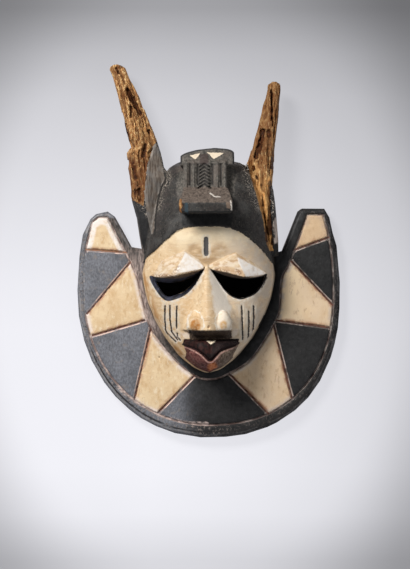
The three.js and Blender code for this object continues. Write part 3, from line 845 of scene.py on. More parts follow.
def carve_horn(stations, bare_outline, tunnels, side):
    low_x, high_x = sorted((side * 42, side * 134))
    part, x, y, z = region((low_x, -10, 0), (high_x, 252, 72))
    field = horn_distance(x, y, z, stations)
    plan_x, plan_y = x[:, :, 0], y[:, :, 0]
    inward, width = horn_place(plan_x, plan_y, stations)
    uneven = 3 * hills(inward, plan_y, 0, (6, 16, 1), 21 + side)
    into_bare = uneven - outline_distance(plan_x, plan_y, bare_outline)
    bare = smooth_step(-1.5, 1.5, into_bare)[:, :, None]
    inward = inward[:, :, None]
    channels = horn_channels(inward, y, z, side)
    fine = hills(inward, y, z, (1.9, 22, 3.5), 41 + side)
    thin = np.clip(width[:, :, None] / 30, 0.35, 1)
    field = field + bare * thin * (3.4 * channels + 0.8 * fine + 0.5)
    tunnel = tunnel_depth(plan_x, plan_y, tunnels)[:, :, None]
    floor_z = horn_front(inward, width[:, :, None], y, stations) - tunnel * (0.8 + 0.4 * fine)
    field = np.where(tunnel > 0.3, soft_cut(field, floor_z - z, 0.8), field)
    off_middle = np.abs(inward / width[:, :, None] - 0.5) * 2
    ragged = 1.8 * np.abs(hills(inward, 0, z, (3.5, 1, 5), 51 + side))
    torn = stations[-1][0] + 1 - ragged - 5 * off_middle ** 2.5
    field = soft_both(field, y - torn, 1)
    field = soft_both(field, FOOT_Y - y, 1)
    body[part] = soft_union(body[part], field, 2.5)


carve_horn(LEFT_HORN, BARE_LEFT, TUNNELS_LEFT, -1)
carve_horn(RIGHT_HORN, BARE_RIGHT, TUNNELS_RIGHT, 1)
print(f"horns carved, {time.time() - started:.1f} s")

# %% [markdown]
# ## The hollow
# The mask is hollowed from behind to a wall of about 13 mm. Nobody smooths the inside: the
# curved adze leaves a field of shallow scoops. The same dome, moved in by the wall, is cut away.

# %% Hollow it out
part, x, y, z = region((-84, -156, -6), (84, 112, 108))
scoops = np.abs(hills(x, y, z, (17, 21, 19), 61)) * 1.5 + 0.3 * hills(x, y, z, (6, 6, 6), 62)
hollow = dome_distance(x, y, z, inset=WALL) + scoops
body[part] = soft_cut(body[part], hollow, 3)
print(f"hollow cut, {time.time() - started:.1f} s")

# %% [markdown]
# ## The eyes
# Below each lid the eye is cut right through the wall, as a shape drawn on the plan. The cut
# narrows towards the back, as a knife held at a slant leaves it.

# %% Pierce the eyes
EYES = [
    bezier((-7, -24), (-36, -44), (-77, -33)) + [
        (-75, -41), (-67, -54), (-60, -62), (-53, -65), (-43, -62.5), (-33, -58.5), (-25, -52),
        (-17.5, -43),
    ],
    bezier((2.5, -24), (36, -44), (76, -31)) + [
        (69, -46), (61, -55.5), (50.3, -60.8), (41, -62.9), (30.3, -59.5), (22.3, -52.8),
        (14.3, -42.2),
    ],
]


def eye_distance(x, y):
    """Distance to the rim of the nearer eye, negative inside it."""
    return np.minimum.reduce([outline_distance(x, y, flowing(eye, 4)) for eye in EYES])


part, x, y, z = region((-82, -70, 40), (82, -18, 122))
narrowing = np.clip(0.32 * (93 - z), 0, 5) * np.where(x < 0, 1, 0.2)
eye = eye_distance(x[:, :, 0], y[:, :, 0])[:, :, None] + narrowing
body[part] = soft_cut(body[part], eye, 1)
print(f"eyes cut, {time.time() - started:.1f} s")

# %% [markdown]
# ## Age
# A beetle has left one round hole in the collar. Every face keeps the faint ripple of the
# knife. It is added to the distances near the surface, so it runs over all the forms alike.

# %% A beetle hole and the ripple of the knife
BEETLE_X, BEETLE_Y, BEETLE_RADIUS, BEETLE_FLOOR_Z = -66.7, -141.2, 1.5, 12
part, x, y, z = region((-70, -145, 8), (-63, -137, 26))
beetle = np.maximum(np.hypot(x - BEETLE_X, y - BEETLE_Y) - BEETLE_RADIUS, BEETLE_FLOOR_Z - z)
body[part] = np.maximum(body[part], -beetle)

near = np.nonzero(np.abs(body) < 4)
x, y, z = (axis[index] for axis, index in zip(AXES, near))
ripple = 0.22 * hills(x, y, z, (8, 8, 8), 71) + 0.1 * hills(x, y, z, (3.1, 3.1, 3.1), 72)
body[near] += ripple
print(f"{len(x)} cells near the surface rippled, {time.time() - started:.1f} s")

# %% [markdown]
# ## From distances to a mesh
# OpenVDB walks over the grid and lays faces where the distance is zero. The insects' channels
# cut a few crumbs loose, so only the piece that hangs together is kept.

# %% Lay the faces
grid = openvdb.FloatGrid(3.0)
grid.copyFromArray(np.clip(body, -3, 3))
points, quads = grid.convertToQuads(isovalue=0.0)
points = points * VOXEL + np.array([axis[0] for axis in AXES], np.float32)
print(f"{len(points)} points, {len(quads)} quads, {time.time() - started:.1f} s")


def main_piece(count, ends_a, ends_b):
    """Keep what hangs together with most points; crumbs of eaten wood go."""
    label = np.arange(count)
    while True:
        lowest = np.minimum(label[ends_a], label[ends_b])
        fresh = label.copy()
        np.minimum.at(fresh, label[ends_a], lowest)
        np.minimum.at(fresh, label[ends_b], lowest)
        fresh = fresh[fresh]
        if np.array_equal(fresh, label):
            return label == np.bincount(label).argmax()
        label = fresh


quads = quads.astype(np.int64)
kept = main_piece(len(points), quads.ravel(), np.roll(quads, 1, axis=1).ravel())
kept_quads = quads[kept[quads[:, 0]]]
renumbered = np.cumsum(kept) - 1
points, quads = points[kept], renumbered[kept_quads]
print(f"main piece: {len(points)} points, {len(quads)} quads")

# %% [markdown]
# ## Where triangles are needed
# An even net of tiny faces is wasted on plain wood. So the points are sorted first: the face,
# the crest, the horns and the incised lines are fine work, and the rest may be thinned.

# %% Find the fine work
LINE_REACH = 3.6


def in_the_hollow(x, y, z, reach):
    """True on the inside of the mask; reach is 1 on the edge of the hollow."""
    inner_share = head_share(x, y, WALL)
    return (inner_share < reach) & (z < dome_z(inner_share, y, WALL) + 3)


across, along, up = points.T
on_face = (head_share(across, along) < 1.02) & (up > 62) & (along < 34)
on_horn = (np.abs(across) > 48) & (up > 30) & (along > 2)
on_crest = (np.abs(across + 4) < 42) & (along > 44) & (along < 138) & (up > 92)
on_line = (up > 14) & (up < 26)
on_line[on_line] = lines_distance(across[on_line], along[on_line], grooves) < LINE_REACH
fine_work = on_face | on_horn | on_crest | on_line
fine_work &= ~(in_the_hollow(across, along, up, 1.02) & (along < 120))
print(f"{fine_work.mean():.0%} of the points are in fine work")

# %% [markdown]
# ## Thinning
# A collapse modifier joins points until a wanted share of the faces is left. A vertex group
# tells it where: plain places count fully, and fine work only a little.

# %% Thin the flat places
TRIANGLE_LIMIT = 196000
rough_mesh = bpy.data.meshes.new("rough mask")
rough_mesh.from_pydata((points * MM).tolist(), [], quads.tolist())
rough = bpy.data.objects.new("Rough mask", rough_mesh)
bpy.context.scene.collection.objects.link(rough)
free_group = rough.vertex_groups.new(name="free to thin")
free_group.add(np.nonzero(~fine_work)[0].tolist(), 1.0, "REPLACE")
free_group.add(np.nonzero(fine_work)[0].tolist(), 0.08, "REPLACE")
thinning = rough.modifiers.new("thin the flat places", "DECIMATE")
thinning.ratio = TRIANGLE_LIMIT / (2 * len(quads))
thinning.vertex_group = free_group.name
thinning.vertex_group_factor = 1.0
thinning.use_collapse_triangulate = True
bpy.context.view_layer.update()
mesh = bpy.data.meshes.new_from_object(rough.evaluated_get(bpy.context.evaluated_depsgraph_get()))
bpy.data.objects.remove(rough)
mesh.name = "carved mask"
print(f"{len(mesh.polygons)} triangles left of {2 * len(quads)}")

# %% [markdown]
# ## Smooth shading
# Each point gets the mean direction of the faces round it. A thin sliver of a triangle may
# point anywhere, so each face counts by its area. Where the thinning pushed a point a hair
# below the table, it is lifted back to it.

# %% Shade it smooth
corners = np.empty(len(mesh.polygons) * 3, np.int32)
mesh.loops.foreach_get("vertex_index", corners)
corners = corners.reshape(-1, 3)
place = np.empty(len(mesh.vertices) * 3, np.float32)
mesh.vertices.foreach_get("co", place)
place = place.reshape(-1, 3).astype(float)
place[:, 2] = np.maximum(place[:, 2], 0)
mesh.vertices.foreach_set("co", place.ravel())
first, second, third = (place[corners[:, i]] for i in range(3))
areas = np.cross(second - first, third - first)
facing = np.zeros_like(place)
for i in range(3):
    np.add.at(facing, corners[:, i], areas)
facing /= np.maximum(np.linalg.norm(facing, axis=1, keepdims=True), 1e-12)
mesh.shade_smooth()
mesh.normals_split_custom_set_from_vertices(facing.tolist())
print(f"{len(facing)} points shaded")

# %% [markdown]
# ## The finished piece
# The mesh takes the place of the plain solid of the same name in the frame. A closed mesh has
# two faces at each edge and a volume, and both are measured here.

# %% Put it in the frame
mask = bpy.data.objects.new("Carved_mask", mesh)
bpy.context.scene.collection.objects.link(mask)
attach(mask, "root")
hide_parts("carved_mask")

shell = bmesh.new()
shell.from_mesh(mesh)
litres = shell.calc_volume(signed=True) * 1000
open_edges = sum(not edge.is_manifold for edge in shell.edges)
shell.free()
print(f"{litres:.2f} litres of wood, {open_edges} open edges, {time.time() - started:.1f} s")

# %% [markdown]
# ## Where each paint goes
# The painter worked by area: this wedge cream, that one black. So each paint gets a number at
# every point of the mesh, the distance in mm to the edge of its area, positive inside. The
# shader can then draw a crisp edge and make it wander, and it costs no picture at all.

# %% Three ways to lay out a paint
x, y, z = (place / MM).T.astype(np.float32)
normal_z = facing[:, 2].astype(np.float32)
OUTSIDE, AWAY, FAR_AWAY = -20, 20, 30
paints = {}


def inside(outline):
    return -outline_distance(x, y, outline)


def innermost(outlines):
    return np.maximum.reduce([inside(outline) for outline in outlines])


def fill(name, where, *outlines):
    """Fill outlines, only on the part of the mask that where picks out."""
    paints[name] = np.where(where, innermost(outlines), OUTSIDE)


def draw(name, where, *lines, beyond=AWAY):
    """Draw along lines: the number is the distance to the nearest one."""
    paints[name] = np.where(where, lines_distance(x, y, lines), beyond)


def brush(name, where, half_width, *lines):
    """Brush a band along lines."""
    paints[name] = np.where(where, half_width - lines_distance(x, y, lines), OUTSIDE)


print(f"{len(x)} points to paint")

# %% [markdown]
# ## The fields of the collar
# Six fields are cream: the two tips, and every other wedge between two spokes. A wedge is drawn
# too long at both ends and then kept inside the two long lines. The paint stops at the cuts.

# %% Lay out the collar's fields
def spoke_point(spoke, along):
    (x1, y1), (x2, y2) = spoke
    return (x1 + along * (x2 - x1), y1 + along * (y2 - y1))


def wedge(first, second):
    places = ((first, -0.25), (first, 1.4), (second, 1.4), (second, -0.25))
    return [spoke_point(spoke, along) for spoke, along in places]


left_tip = [(-96.8, -1.8), (-186.4, 4.7), (-190, 90), (-90, 90)]
right_tip = [(102, -2), (179.8, 26.4), (185, 90), (100, 90)]
wedges = [left_tip, right_tip] + [wedge(spokes[i], spokes[i + 1]) for i in (1, 3, 5, 7)]
in_fields = inside(outer_line + inner_line[::-1])
on_collar = (z < COLLAR_THICKNESS + 5) & (normal_z > -0.2)
in_cream = (in_fields > 0) & (innermost(wedges) > 0) & on_collar
to_groove = lines_distance(x, y, grooves)
to_rings = lines_distance(x, y, [outer_line, inner_line])
paints["collar cream"] = np.where(in_cream, to_groove, -to_groove)
paints["left tip"] = np.where(in_cream, smooth_step(-2, 4, inside(left_tip)), 0)
paints["right tip"] = np.where(in_cream, smooth_step(-2, 4, inside(right_tip)), 0)
paints["rings"] = np.where(on_collar, to_rings + 2 * worn_line(x, y), FAR_AWAY)
draw("spokes", on_collar & (in_fields > -2), *spokes, beyond=FAR_AWAY)
draw("rim line", on_collar, rim_line, beyond=FAR_AWAY)
print(f"{in_cream.mean():.0%} of the points lie in the collar's cream fields")

# %% [markdown]
# ## Skin, hair and the bare inside
# The skin is cream down to the collar and up to the hairline, and the cap above it is black.
# Nobody painted the inside, so it keeps its own number and the shader leaves it bare.

# %% Lay out skin, hair and inside
share = head_share(x, y)
to_face_edge = (1 - share) * 80
past_hair = hairline_distance(x, y)
in_hollow = in_the_hollow(x, y, z, 1.03)
skin_side = np.where(share < 1.02, 3 + to_face_edge, to_face_edge - 5)
paints["skin"] = np.minimum.reduce([skin_side, -past_hair, z - 30])
paints["hair"] = np.where((y > -40) & (share < 1.05), past_hair, OUTSIDE)
paints["hollow"] = np.where(in_hollow | (normal_z < -0.5) | (z < 1.5), 5.0, -5.0)
paints["side stain"] = np.where((z > 40) & (x < -30), 14 - to_face_edge, OUTSIDE) * smooth_step(-8, -40, y)
print(f"{in_hollow.mean():.0%} of the points lie in the hollow")

# %% [markdown]
# ## The lids and the eyes
# The lids are dull cream with one facet in white each, and dirt has gathered in their folds.
# Their undersides, and the nose's, are dull brown wood, and where they turn downwards the dark
# tone is a painted shade. Such small areas are traced by their corners.

# %% Lay out the lids and the eyes
on_front = z > 78
fill(
    "lids", on_front,
    [(-76, -33), (-61, -13), (-32, 0), (-14, -11), (-5, -20), (-7, -24), (-26, -28), (-41, -34), (-64, -35)],
    [(78, -30), (60, -16), (34, -2), (14, -11), (-2, -20), (1, -26), (20, -29), (46, -35), (64, -33)],
)
fill(
    "white facets", on_front,
    [(-31, -2), (-7, -19.5), (-8, -23), (-28, -27.5), (-43, -29), (-41, -22), (-32.5, -6)],
    [(37, -8), (74, -28), (72, -31), (48, -34), (44, -26), (38.5, -16)],
)
brush(
    "lid dirt", on_front & (normal_z > 0.1), 3.4,
    [(-44, -28.5), (-39.5, -22)], [(36, -25.5), (40, -29.5)],
    [(-70, -33), (-48, -32)], [(10, -24), (24, -28.5)],
)
shaded_undersides = innermost([
    [(-26, -103.6), (30, -103.6), (30, -115.5), (-25, -115.5)],
    [
        (-78, -33.5), (-64, -35.2), (-44, -33.2), (-25, -28.2), (-6, -24), (-8, -27), (-18, -44),
        (-40, -52), (-70, -48),
    ],
    [(78, -33.5), (64, -35.2), (44, -33.2), (25, -28.2), (4, -24), (6, -27), (18, -44), (40, -52), (70, -48)],
])
# painted shade: the dark underside tone goes only where the surface turns downwards
turned_down_shade = 3 - 6 * (normal_z - 0.35) * (y > -100)
paints["shaded_undersides"] = np.where(z > 70, np.minimum(shaded_undersides, turned_down_shade), OUTSIDE)
paints["eye"] = np.where((z > 55) & ~in_hollow, eye_distance(x, y), FAR_AWAY)
brush("brow dirt", on_front, 9, [(-20, 3), (-4, -13), (16, 3)])
print("lids and eyes laid out")

# %% [markdown]
# ## The nose and the cuts
# The nose has chalky patches on its sides, which on its shaded right side also stand in for light
# as painted light, and each wing has an orange heart in a pale ring.
# The cuts on cheeks and forehead are dark. Three short dark strokes at the left jaw are paint
# alone, and weren't cut.

# %% Lay out the nose and the cuts
def lobe_share(width, height, drop):
    """From 1 in the middle of a wing of the nose to 0 on an oval of that size."""
    ovals = []
    for lobe_x, lobe_y in LOBES.values():
        ovals.append(np.hypot((x - lobe_x) / width, (y - lobe_y + drop) / height))
    return 1 - np.minimum.reduce(ovals)


# chalk on the nose's sides, also a painted light on its shaded right side
fill(
    "nose chalk and painted light", on_front,
    [(0, -24), (5, -24), (16, -44), (26, -66), (30, -78), (8, -82), (5, -60), (2, -40)],
    [(-6, -24), (-10, -28), (-16, -42), (-12, -42), (-7, -30)],
)
fill(
    "pale corners", on_front,
    [(-25, -106), (-37, -108), (-36, -114), (-25, -114)], [(31, -104), (38, -102), (39, -112), (31, -113)],
)
paints["lobes"] = np.where(z > 84, 11 * lobe_share(10.5, 16, 1.5), OUTSIDE)
paints["lobe hearts"] = np.where(z > 84, 8 * lobe_share(8, 10, 4) - 1.8 * (x > 0), OUTSIDE)
paints["marks"] = -np.where((z > 60) & (share < 1) & ~in_hollow, mark_distance(x, y), FAR_AWAY)
paints["forehead mark"] = 6 - line_distance(x, y, forehead_mark)
draw(
    "jaw strokes", (z > 52) & ~in_hollow,
    [(-57, -104), (-55, -108), (-43.5, -119)], [(-48.8, -106), (-41, -116.5)], [(-41.5, -112), (-37.5, -117)],
)
print("nose and cuts laid out")

# %% [markdown]
# ## The lips
# The upper lip is nearly black and the lower one a worn dull red with an orange spot. Both end
# at the mouth line, so their outlines reuse its points.

# %% Lay out the lips
fill("upper lip", z > 56, [(-33, -115.5), (40, -115), (39, -121)] + mouth_line[::-1][6:])
fill("lower lip", (z > 44) & (share < 1.06), mouth_line + [
    (41, -119), (35.5, -131), (31, -140), (31, -152), (24, -172), (-24, -172), (-36, -150), (-31, -141),
    (-30, -133),
])
draw("mouth", z > 60, mouth_line)
paints["orange spot"] = np.where(z > 50, 6.5 - np.hypot(x - 4.5, 0.8 * (y + 152)), OUTSIDE)
print("lips laid out")

# %% [markdown]
# ## The crest
# The panel and the band are greyish brown, with two chalk triangles on the band and a small
# third one on the upper lip. The ledge is brown on top, its front and the cap under it are dark
# with painted shade, and it has two small spots, one bluish and one brown.

# %% Lay out the crest
fill(
    "chalk", on_front,
    [(-4, -117), (9.5, -117), (2.5, -121.5)],
    [(-25.5, 124), (-10, 128), (-17.5, 118.8)],
    [(-2.5, 128.5), (21, 127.5), (6.4, 119.5)],
)
on_crest_top, on_ledge = z > 112, z > 92
fill("between triangles", z > 84, [(-12, 126), (-1.5, 126), (0, 113), (-12, 113)])
fill("ledge top", on_crest_top, [(-38, 82), (28, 82), (33, 60.5), (-38, 60.5)])
# painted shade: the ledge's front and the cap under it are darkened as if in the ledge's shadow
fill("painted shade under the ledge", on_ledge & ((normal_z < 0.93) | (y < 50)), [(-36.5, 60.5), (31, 60.5), (29, 32), (-34, 32)])
fill("blue spot", on_ledge, [(-31, 60), (-26.5, 60), (-26.5, 47), (-31, 49)])
fill("brown spot", on_ledge, [(22, 61), (27.5, 61), (27.5, 53), (22, 54)])
brush(
    "scratches", z > 108, 0.9,
    [(1.4, 73.3), (4, 71.5), (6.6, 69), (14.3, 68.2)], [(27.6, 62.5), (28.6, 56), (29, 51)],
)
draw("crest cuts", z > 90, *crest_cuts)
paints["crest"] = np.where((z > 70) & (np.abs(x + 4) < 38), smooth_step(58, 80, y), 0)
paints["band edge"] = np.where((z > 70) & (y > 112), 2.2 + outline_distance(x, y, band_plan), OUTSIDE)
print("crest laid out")

# %% [markdown]
# ## The horns
# Paint is left only near their feet. Above, the wood is bare and brown, the left horn has a
# grey face towards the head, and the channels and hollows that were carved are darker inside with
# painted shade. The right horn's lower half and a pale strip on its outer edge get painted light.
# The same formulas that cut them say where they are, so colour and form can't drift apart.

# %% Lay out the horns
bare = np.where((np.abs(x) > 50) & (z > 2), innermost([BARE_LEFT, BARE_RIGHT]), OUTSIDE)
ledge_chip = [(-41, 66), (-35, 65), (-33.5, 57), (-35.5, 52), (-34, 45), (-41, 44)]
paints["bare"] = np.maximum(bare, np.where(on_crest_top, inside(ledge_chip), OUTSIDE))
grey_face = [
    (-74.7, 144), (-77, 139), (-79.6, 134.5), (-79.9, 121), (-81.3, 108), (-82.6, 94.7), (-85.3, 81.4),
    (-84.6, 68), (-82.6, 59), (-81.9, 48), (-78.6, 35), (-76, 22), (-73.3, 22), (-71.3, 31),
    (-71.3, 41.6), (-70, 55), (-68.7, 68), (-67.3, 74.8), (-65.4, 81.4), (-64, 86.7), (-60.7, 90.7),
    (-58.7, 97), (-60.7, 108), (-63.4, 124), (-65.4, 134.5), (-70, 143),
]
fill("grey", z > 12, grey_face)
# painted highlight: a pale strip of bare wood along the right horn's outer edge
fill("pale strip highlight", z > 14, [(85, 36), (88, 44), (92, 40), (93, 14), (87.5, 9)])
draw("seam", z > 14, [(-58, 104), (-58, 90.7), (-63, 85), (-67, 68), (-70, 48), (-71, 22)])
brush("right split", (z > 20) & (x > 60), 3.4, [(81, 90), (81, 51), (80, 24)])
in_left, in_right = (horn_place(x, y, stations)[0] for stations in (LEFT_HORN, RIGHT_HORN))
paints["tunnels"] = tunnel_depth(x, y, TUNNELS_LEFT + TUNNELS_RIGHT)
paints["channels"] = np.where(x < 0, horn_channels(in_left, y, z, -1), horn_channels(in_right, y, z, 1))
paints["edge strip"] = np.where((y > 145) & (y < 177) & (x < 0), 2.2 - in_left, OUTSIDE)
paints["right horn up"] = smooth_step(95, 145, y) * (x > 0)
# painted light: the right horn's lower half is lightened where it lies in shade
paints["painted light on right horn foot"] = smooth_step(108, 82, y) * (x > 0)
paints["left horn low"] = smooth_step(136, 116, y) * (x < 0)
on_cap = (past_hair > 0) & (z > 40) & (y > 20) & ((z < 70) | (np.abs(x + 4) > 40))
to_horn = np.minimum(np.abs(inside(grey_face)), np.abs(inside(BARE_RIGHT)))
paints["near horns"] = np.where(on_cap, to_horn + 18 * (1 - smooth_step(28, 62, y)), FAR_AWAY)
print("horns laid out")

# %% [markdown]
# ## Wear and slow changes
# Paint rubs off at the collar's edge and along one scuffed line, and a pale line near the edge is
# partly a painted highlight. Dust with a painted sheen lies on its left side. The cream beside
# the right cheek and the forehead's top get painted light, and the gap beyond the cheek painted
# shade. Other numbers only say how far left, right or high a place is, because the paints
# change slowly over the mask.

# %% Lay out wear and slow changes
beyond_inner = inside(inner_line)
rim_inside = np.minimum.reduce([beyond_inner, 2 - to_face_edge, 0.25 * (-42 - x)])
outside_ring = np.minimum(inside(collar_outline) - 1.5, -inside(outer_line) - 1)
paints["inner rim"] = np.where((on_collar | (share > 1)) & (z < 46), rim_inside, OUTSIDE)
paints["worn rim"] = np.where(on_collar & (beyond_inner < -2), outside_ring, OUTSIDE)
# painted highlight: a pale line 3 mm inside the collar's outline, partly worn paint
paints["edge wear and highlight"] = np.where(on_collar, 1.3 - np.abs(outline_distance(x, y, collar_outline) + 3.2), OUTSIDE)
scuff_line = [(-122, -182), (-108, -194), (-95, -203), (-62, -221), (-35, -228), (-2, -231)]
brush("scuff", on_collar, 2.0, scuff_line)
# painted light: the cream beside the right cheek is lightened where the head's shadow falls
beside = smooth_step(40, 4, line_distance(x, y, inner_line)) * smooth_step(-108, -92, y)
# painted shade: the gap beyond the right cheek, between face and collar, is darkened
beyond = smooth_step(1.16, 1.04, share) * smooth_step(0.98, 1.0, share)
paints["painted light beside the cheek"] = beside * (x > 60)
paints["painted shade beyond the cheek"] = beyond * smooth_step(15, 50, x) * (z < 52)
# dust and painted sheen: the black turns grey towards the left
dusty_sheen_side = smooth_step(-22, -82, x + 0.1 * y)
paints["dust_and_sheen"] = dusty_sheen_side * np.where(z < 30, 1.0, 0.1) * np.where(beyond_inner > 3, 0.5, 1.0)
paints["left of face"] = smooth_step(8, -50, x)
paints["right of face"] = smooth_step(-15, 62, x)
paints["below eyes"] = smooth_step(-30, -44, y)
# painted light: the top of the forehead, where the ledge's shadow falls
paints["painted light on the forehead top"] = smooth_step(-4, 20, y) * (share < 1.0)
paints["collar right"] = smooth_step(-20, 90, x)
paints["upward"] = smooth_step(-35, 20, y)
paints["rim dark"] = np.maximum(paints["upward"], smooth_step(-98, -122, y))
print(f"dust lies on {(paints['dust_and_sheen'] > 0.5).mean():.0%} of the points")

# %% [markdown]
# ## Numbers on the mesh
# Blender calls such a number per point an attribute. The shader can read it by its name.

# %% Keep the numbers on the mesh
for name, amount in paints.items():
    amount = np.clip(amount, -30, 30).astype(np.float32)
    mesh.attributes.new(name, "FLOAT", "POINT").data.foreach_set("value", amount)
print(len(paints), "painted areas:", ", ".join(paints))

# %% [markdown]
# ## The paint
# The makers used chalky earth paints and soot, brushed thin on wood. They dry matt, and they
# wear on the arrises, so under every paint lies the wood. We mix colours from the bottom up,
# as the painter did: wood, black, cream, then the small strokes, and dirt over all of it.

# %% Nodes as plain functions
def colour(red, green, blue):
    """A colour given on a 0 to 255 scale, as light."""
    light = [v / 255 for v in (red, green, blue)]
    return tuple(v / 12.92 if v < 0.04045 else ((v + 0.055) / 1.055) ** 2.4 for v in light) + (1,)


def node(kind, settings, inputs):
    made = tree.nodes.new(kind)
    for name, value in settings.items():
        setattr(made, name, value)
    for name, value in inputs.items():
        if isinstance(value, bpy.types.NodeSocket):
            tree.links.new(value, made.inputs[name])
        else:
            made.inputs[name].default_value = value
    return made


def start_material(name, piece_mesh):
    """Give a mesh an empty material. The helpers then put their nodes into its tree."""
    global tree, coordinates
    material = bpy.data.materials.new(name)
    material.use_nodes = True
    piece_mesh.materials.append(material)
    tree = material.node_tree
    tree.nodes.clear()
    coordinates = node("ShaderNodeTexCoord", {}, {}).outputs["Object"]


def finish_material(inputs):
    surface = node("ShaderNodeBsdfPrincipled", {}, inputs)
    node("ShaderNodeOutputMaterial", {}, {"Surface": surface.outputs[0]})


def calc(operation, a, b=0.0):
    return node("ShaderNodeMath", {"operation": operation}, {0: a, 1: b}).outputs[0]


def both(a, b):
    return calc("MULTIPLY", a, b)


def ramp(value, low, high, start=0.0, end=1.0):
    inputs = {"Value": value, "From Min": low, "From Max": high, "To Min": start, "To Max": end}
    return node("ShaderNodeMapRange", {"interpolation_type": "SMOOTHSTEP"}, inputs).outputs[0]


print(f"a grey of 128 is {colour(128, 128, 128)[0]:.3f} as light")

# %% [markdown]
# ## Patches and coats
# Old paint is never one tone. So a tone is usually two, mixed by soft noise, and a finish is a
# ground with coats over it, each with the share of the ground that it covers. The edge of an
# area wanders, because the number that measures it gets a little noise added.

# %% Patches and coats
start_material("Painted wood", mesh)


def area(name):
    return node("ShaderNodeAttribute", {"attribute_name": name}, {}).outputs["Fac"]


def noise(size, detail=3.0, stretch=(1, 1, 1), roughness=0.55, turn=0.0):
    """Random shading from 0 to 1; size is the width of a spot in mm."""
    stretched = node("ShaderNodeMapping", {"vector_type": "TEXTURE"}, {
        "Vector": coordinates, "Scale": stretch, "Rotation": (0, 0, turn),
    })
    return node("ShaderNodeTexNoise", {}, {
        "Vector": stretched.outputs[0], "Scale": 1000 / size, "Detail": detail, "Roughness": roughness,
    }).outputs["Fac"]


def mix(share, under, over):
    """One tone over another; a tone is three numbers from 0 to 255 or the result of a node."""
    under, over = (colour(*tone) if isinstance(tone, tuple) else tone for tone in (under, over))
    return node("ShaderNodeMix", {"data_type": "RGBA"}, {0: share, 6: under, 7: over}).outputs[2]


def two_tones(pattern, low, high, first, second):
    return mix(ramp(pattern, low, high), first, second)


def coats(ground, *layers):
    """Coats over a ground, each given by the share that it covers and its tone."""
    for share, tone in layers:
        ground = mix(share, ground, tone)
    return ground


def patch(name, wander, size, softness=0.4):
    """How much of a paint covers a place: 1 well inside its area, with a hand-drawn edge."""
    wobble = both(calc("SUBTRACT", noise(size, 2.0), 0.5), wander * 2)
    return ramp(calc("ADD", area(name), wobble), -softness, softness)


grain = noise(1.8, 5.0, (1, 12, 3), 0.65)
broad = noise(16, 4.0)
mottle = noise(2.4, 5.0, (1, 1.6, 1), 0.65)
speck = noise(1.6, 2.0)
scored = calc("MAXIMUM", noise(1.0, 3.0, (1, 22, 3), 0.6, -0.75), noise(1.0, 3.0, (1, 26, 3), 0.6, 0.35))
print("shared patterns:", len(tree.nodes), "nodes")

# %% [markdown]
# ## Wood
# Bare wood shows on the horns and at the chips. It is warm brown along the grain, with pale
# and dark fibres, and darker in the channels, a painted shade that deepens with each hollow's
# depth. Towards the right horn's foot it turns golden with painted light.

# %% Wood
# golden wood, partly a painted light for the right horn's shaded lower half
lit_golden_wood = two_tones(mottle, 0.4, 0.6, (206, 146, 82), (246, 196, 128))
wood = coats(
    two_tones(grain, 0.36, 0.62, (112, 70, 36), (192, 144, 92)),
    (ramp(broad, 0.45, 0.7, 0, 0.6), (204, 158, 100)),
    (ramp(noise(3, 5.0, (1, 2.5, 1), 0.7), 0.5, 0.64, 0, 0.8), (146, 88, 48)),
    (ramp(noise(2.2, 4.0, (1, 2.5, 1), 0.7), 0.52, 0.65, 0, 0.85), (242, 208, 150)),
    (ramp(noise(2.4, 5.0, (1, 4, 2), 0.65), 0.54, 0.63, 0, 0.9), (84, 44, 16)),
    (ramp(area("right horn up"), 0, 1, 0, 0.6), (92, 54, 26)),
    # painted light on the right horn's lower half
    (ramp(area("painted light on right horn foot"), 0, 1, 0, 0.75), lit_golden_wood),
    (both(area("left horn low"), ramp(noise(5, 4.0, (1, 2, 1)), 0.34, 0.56, 0.2, 0.75)), (92, 50, 28)),
    (both(patch("right split", 2.2, 5, 1.0), 0.85), two_tones(grain, 0.4, 0.6, (26, 12, 5), (82, 48, 22))),
    # painted shade: the worm channels darken, and the traced hollows darken more the deeper they sink
    (ramp(area("channels"), 0.25, 0.8, 0, 0.6), (84, 44, 18)),
    (ramp(area("tunnels"), 0.8, 4.5, 0, 0.95), two_tones(mottle, 0.4, 0.65, (44, 18, 4), (92, 50, 22))),
)
print("wood mixed")

# %% [markdown]
# ## Black, dust with painted sheen, and hair
# The black of the collar is soot paint with fine scratches. On the left it is grey with dust
# and a painted sheen, and the scratches show paler there. The cap of hair is a browner black with
# pale grains.

# %% Black, dust with painted sheen, and hair
black = coats(
    two_tones(broad, 0.35, 0.7, (15, 15, 16), (25, 24, 25)),
    (ramp(mottle, 0.45, 0.75, 0, 0.6), (42, 42, 43)),
    (ramp(speck, 0.7, 0.78, 0, 0.6), (112, 104, 96)),
    (ramp(scored, 0.7, 0.78, 0, 0.35), (88, 86, 84)),
)
dusty_sheen = coats(
    two_tones(mottle, 0.32, 0.68, (98, 100, 106), (132, 134, 142)),
    (ramp(noise(11, 4.0), 0.56, 0.7, 0, 0.5), (148, 136, 126)),
    (ramp(scored, 0.68, 0.76, 0, 0.55), (176, 178, 184)),
    (ramp(noise(1.7, 3.0, (1, 1.3, 1), 0.6), 0.36, 0.3, 0, 0.7), (50, 50, 54)),
)
hair = coats(
    two_tones(mottle, 0.34, 0.68, (15, 14, 13), (54, 49, 45)),
    (ramp(broad, 0.48, 0.68, 0, 0.6), (58, 50, 47)),
    (ramp(noise(22, 3.0), 0.5, 0.66, 0, 0.35), (84, 84, 82)),
    (ramp(noise(1.3, 3.0), 0.62, 0.7, 0, 0.7), (136, 128, 116)),
)
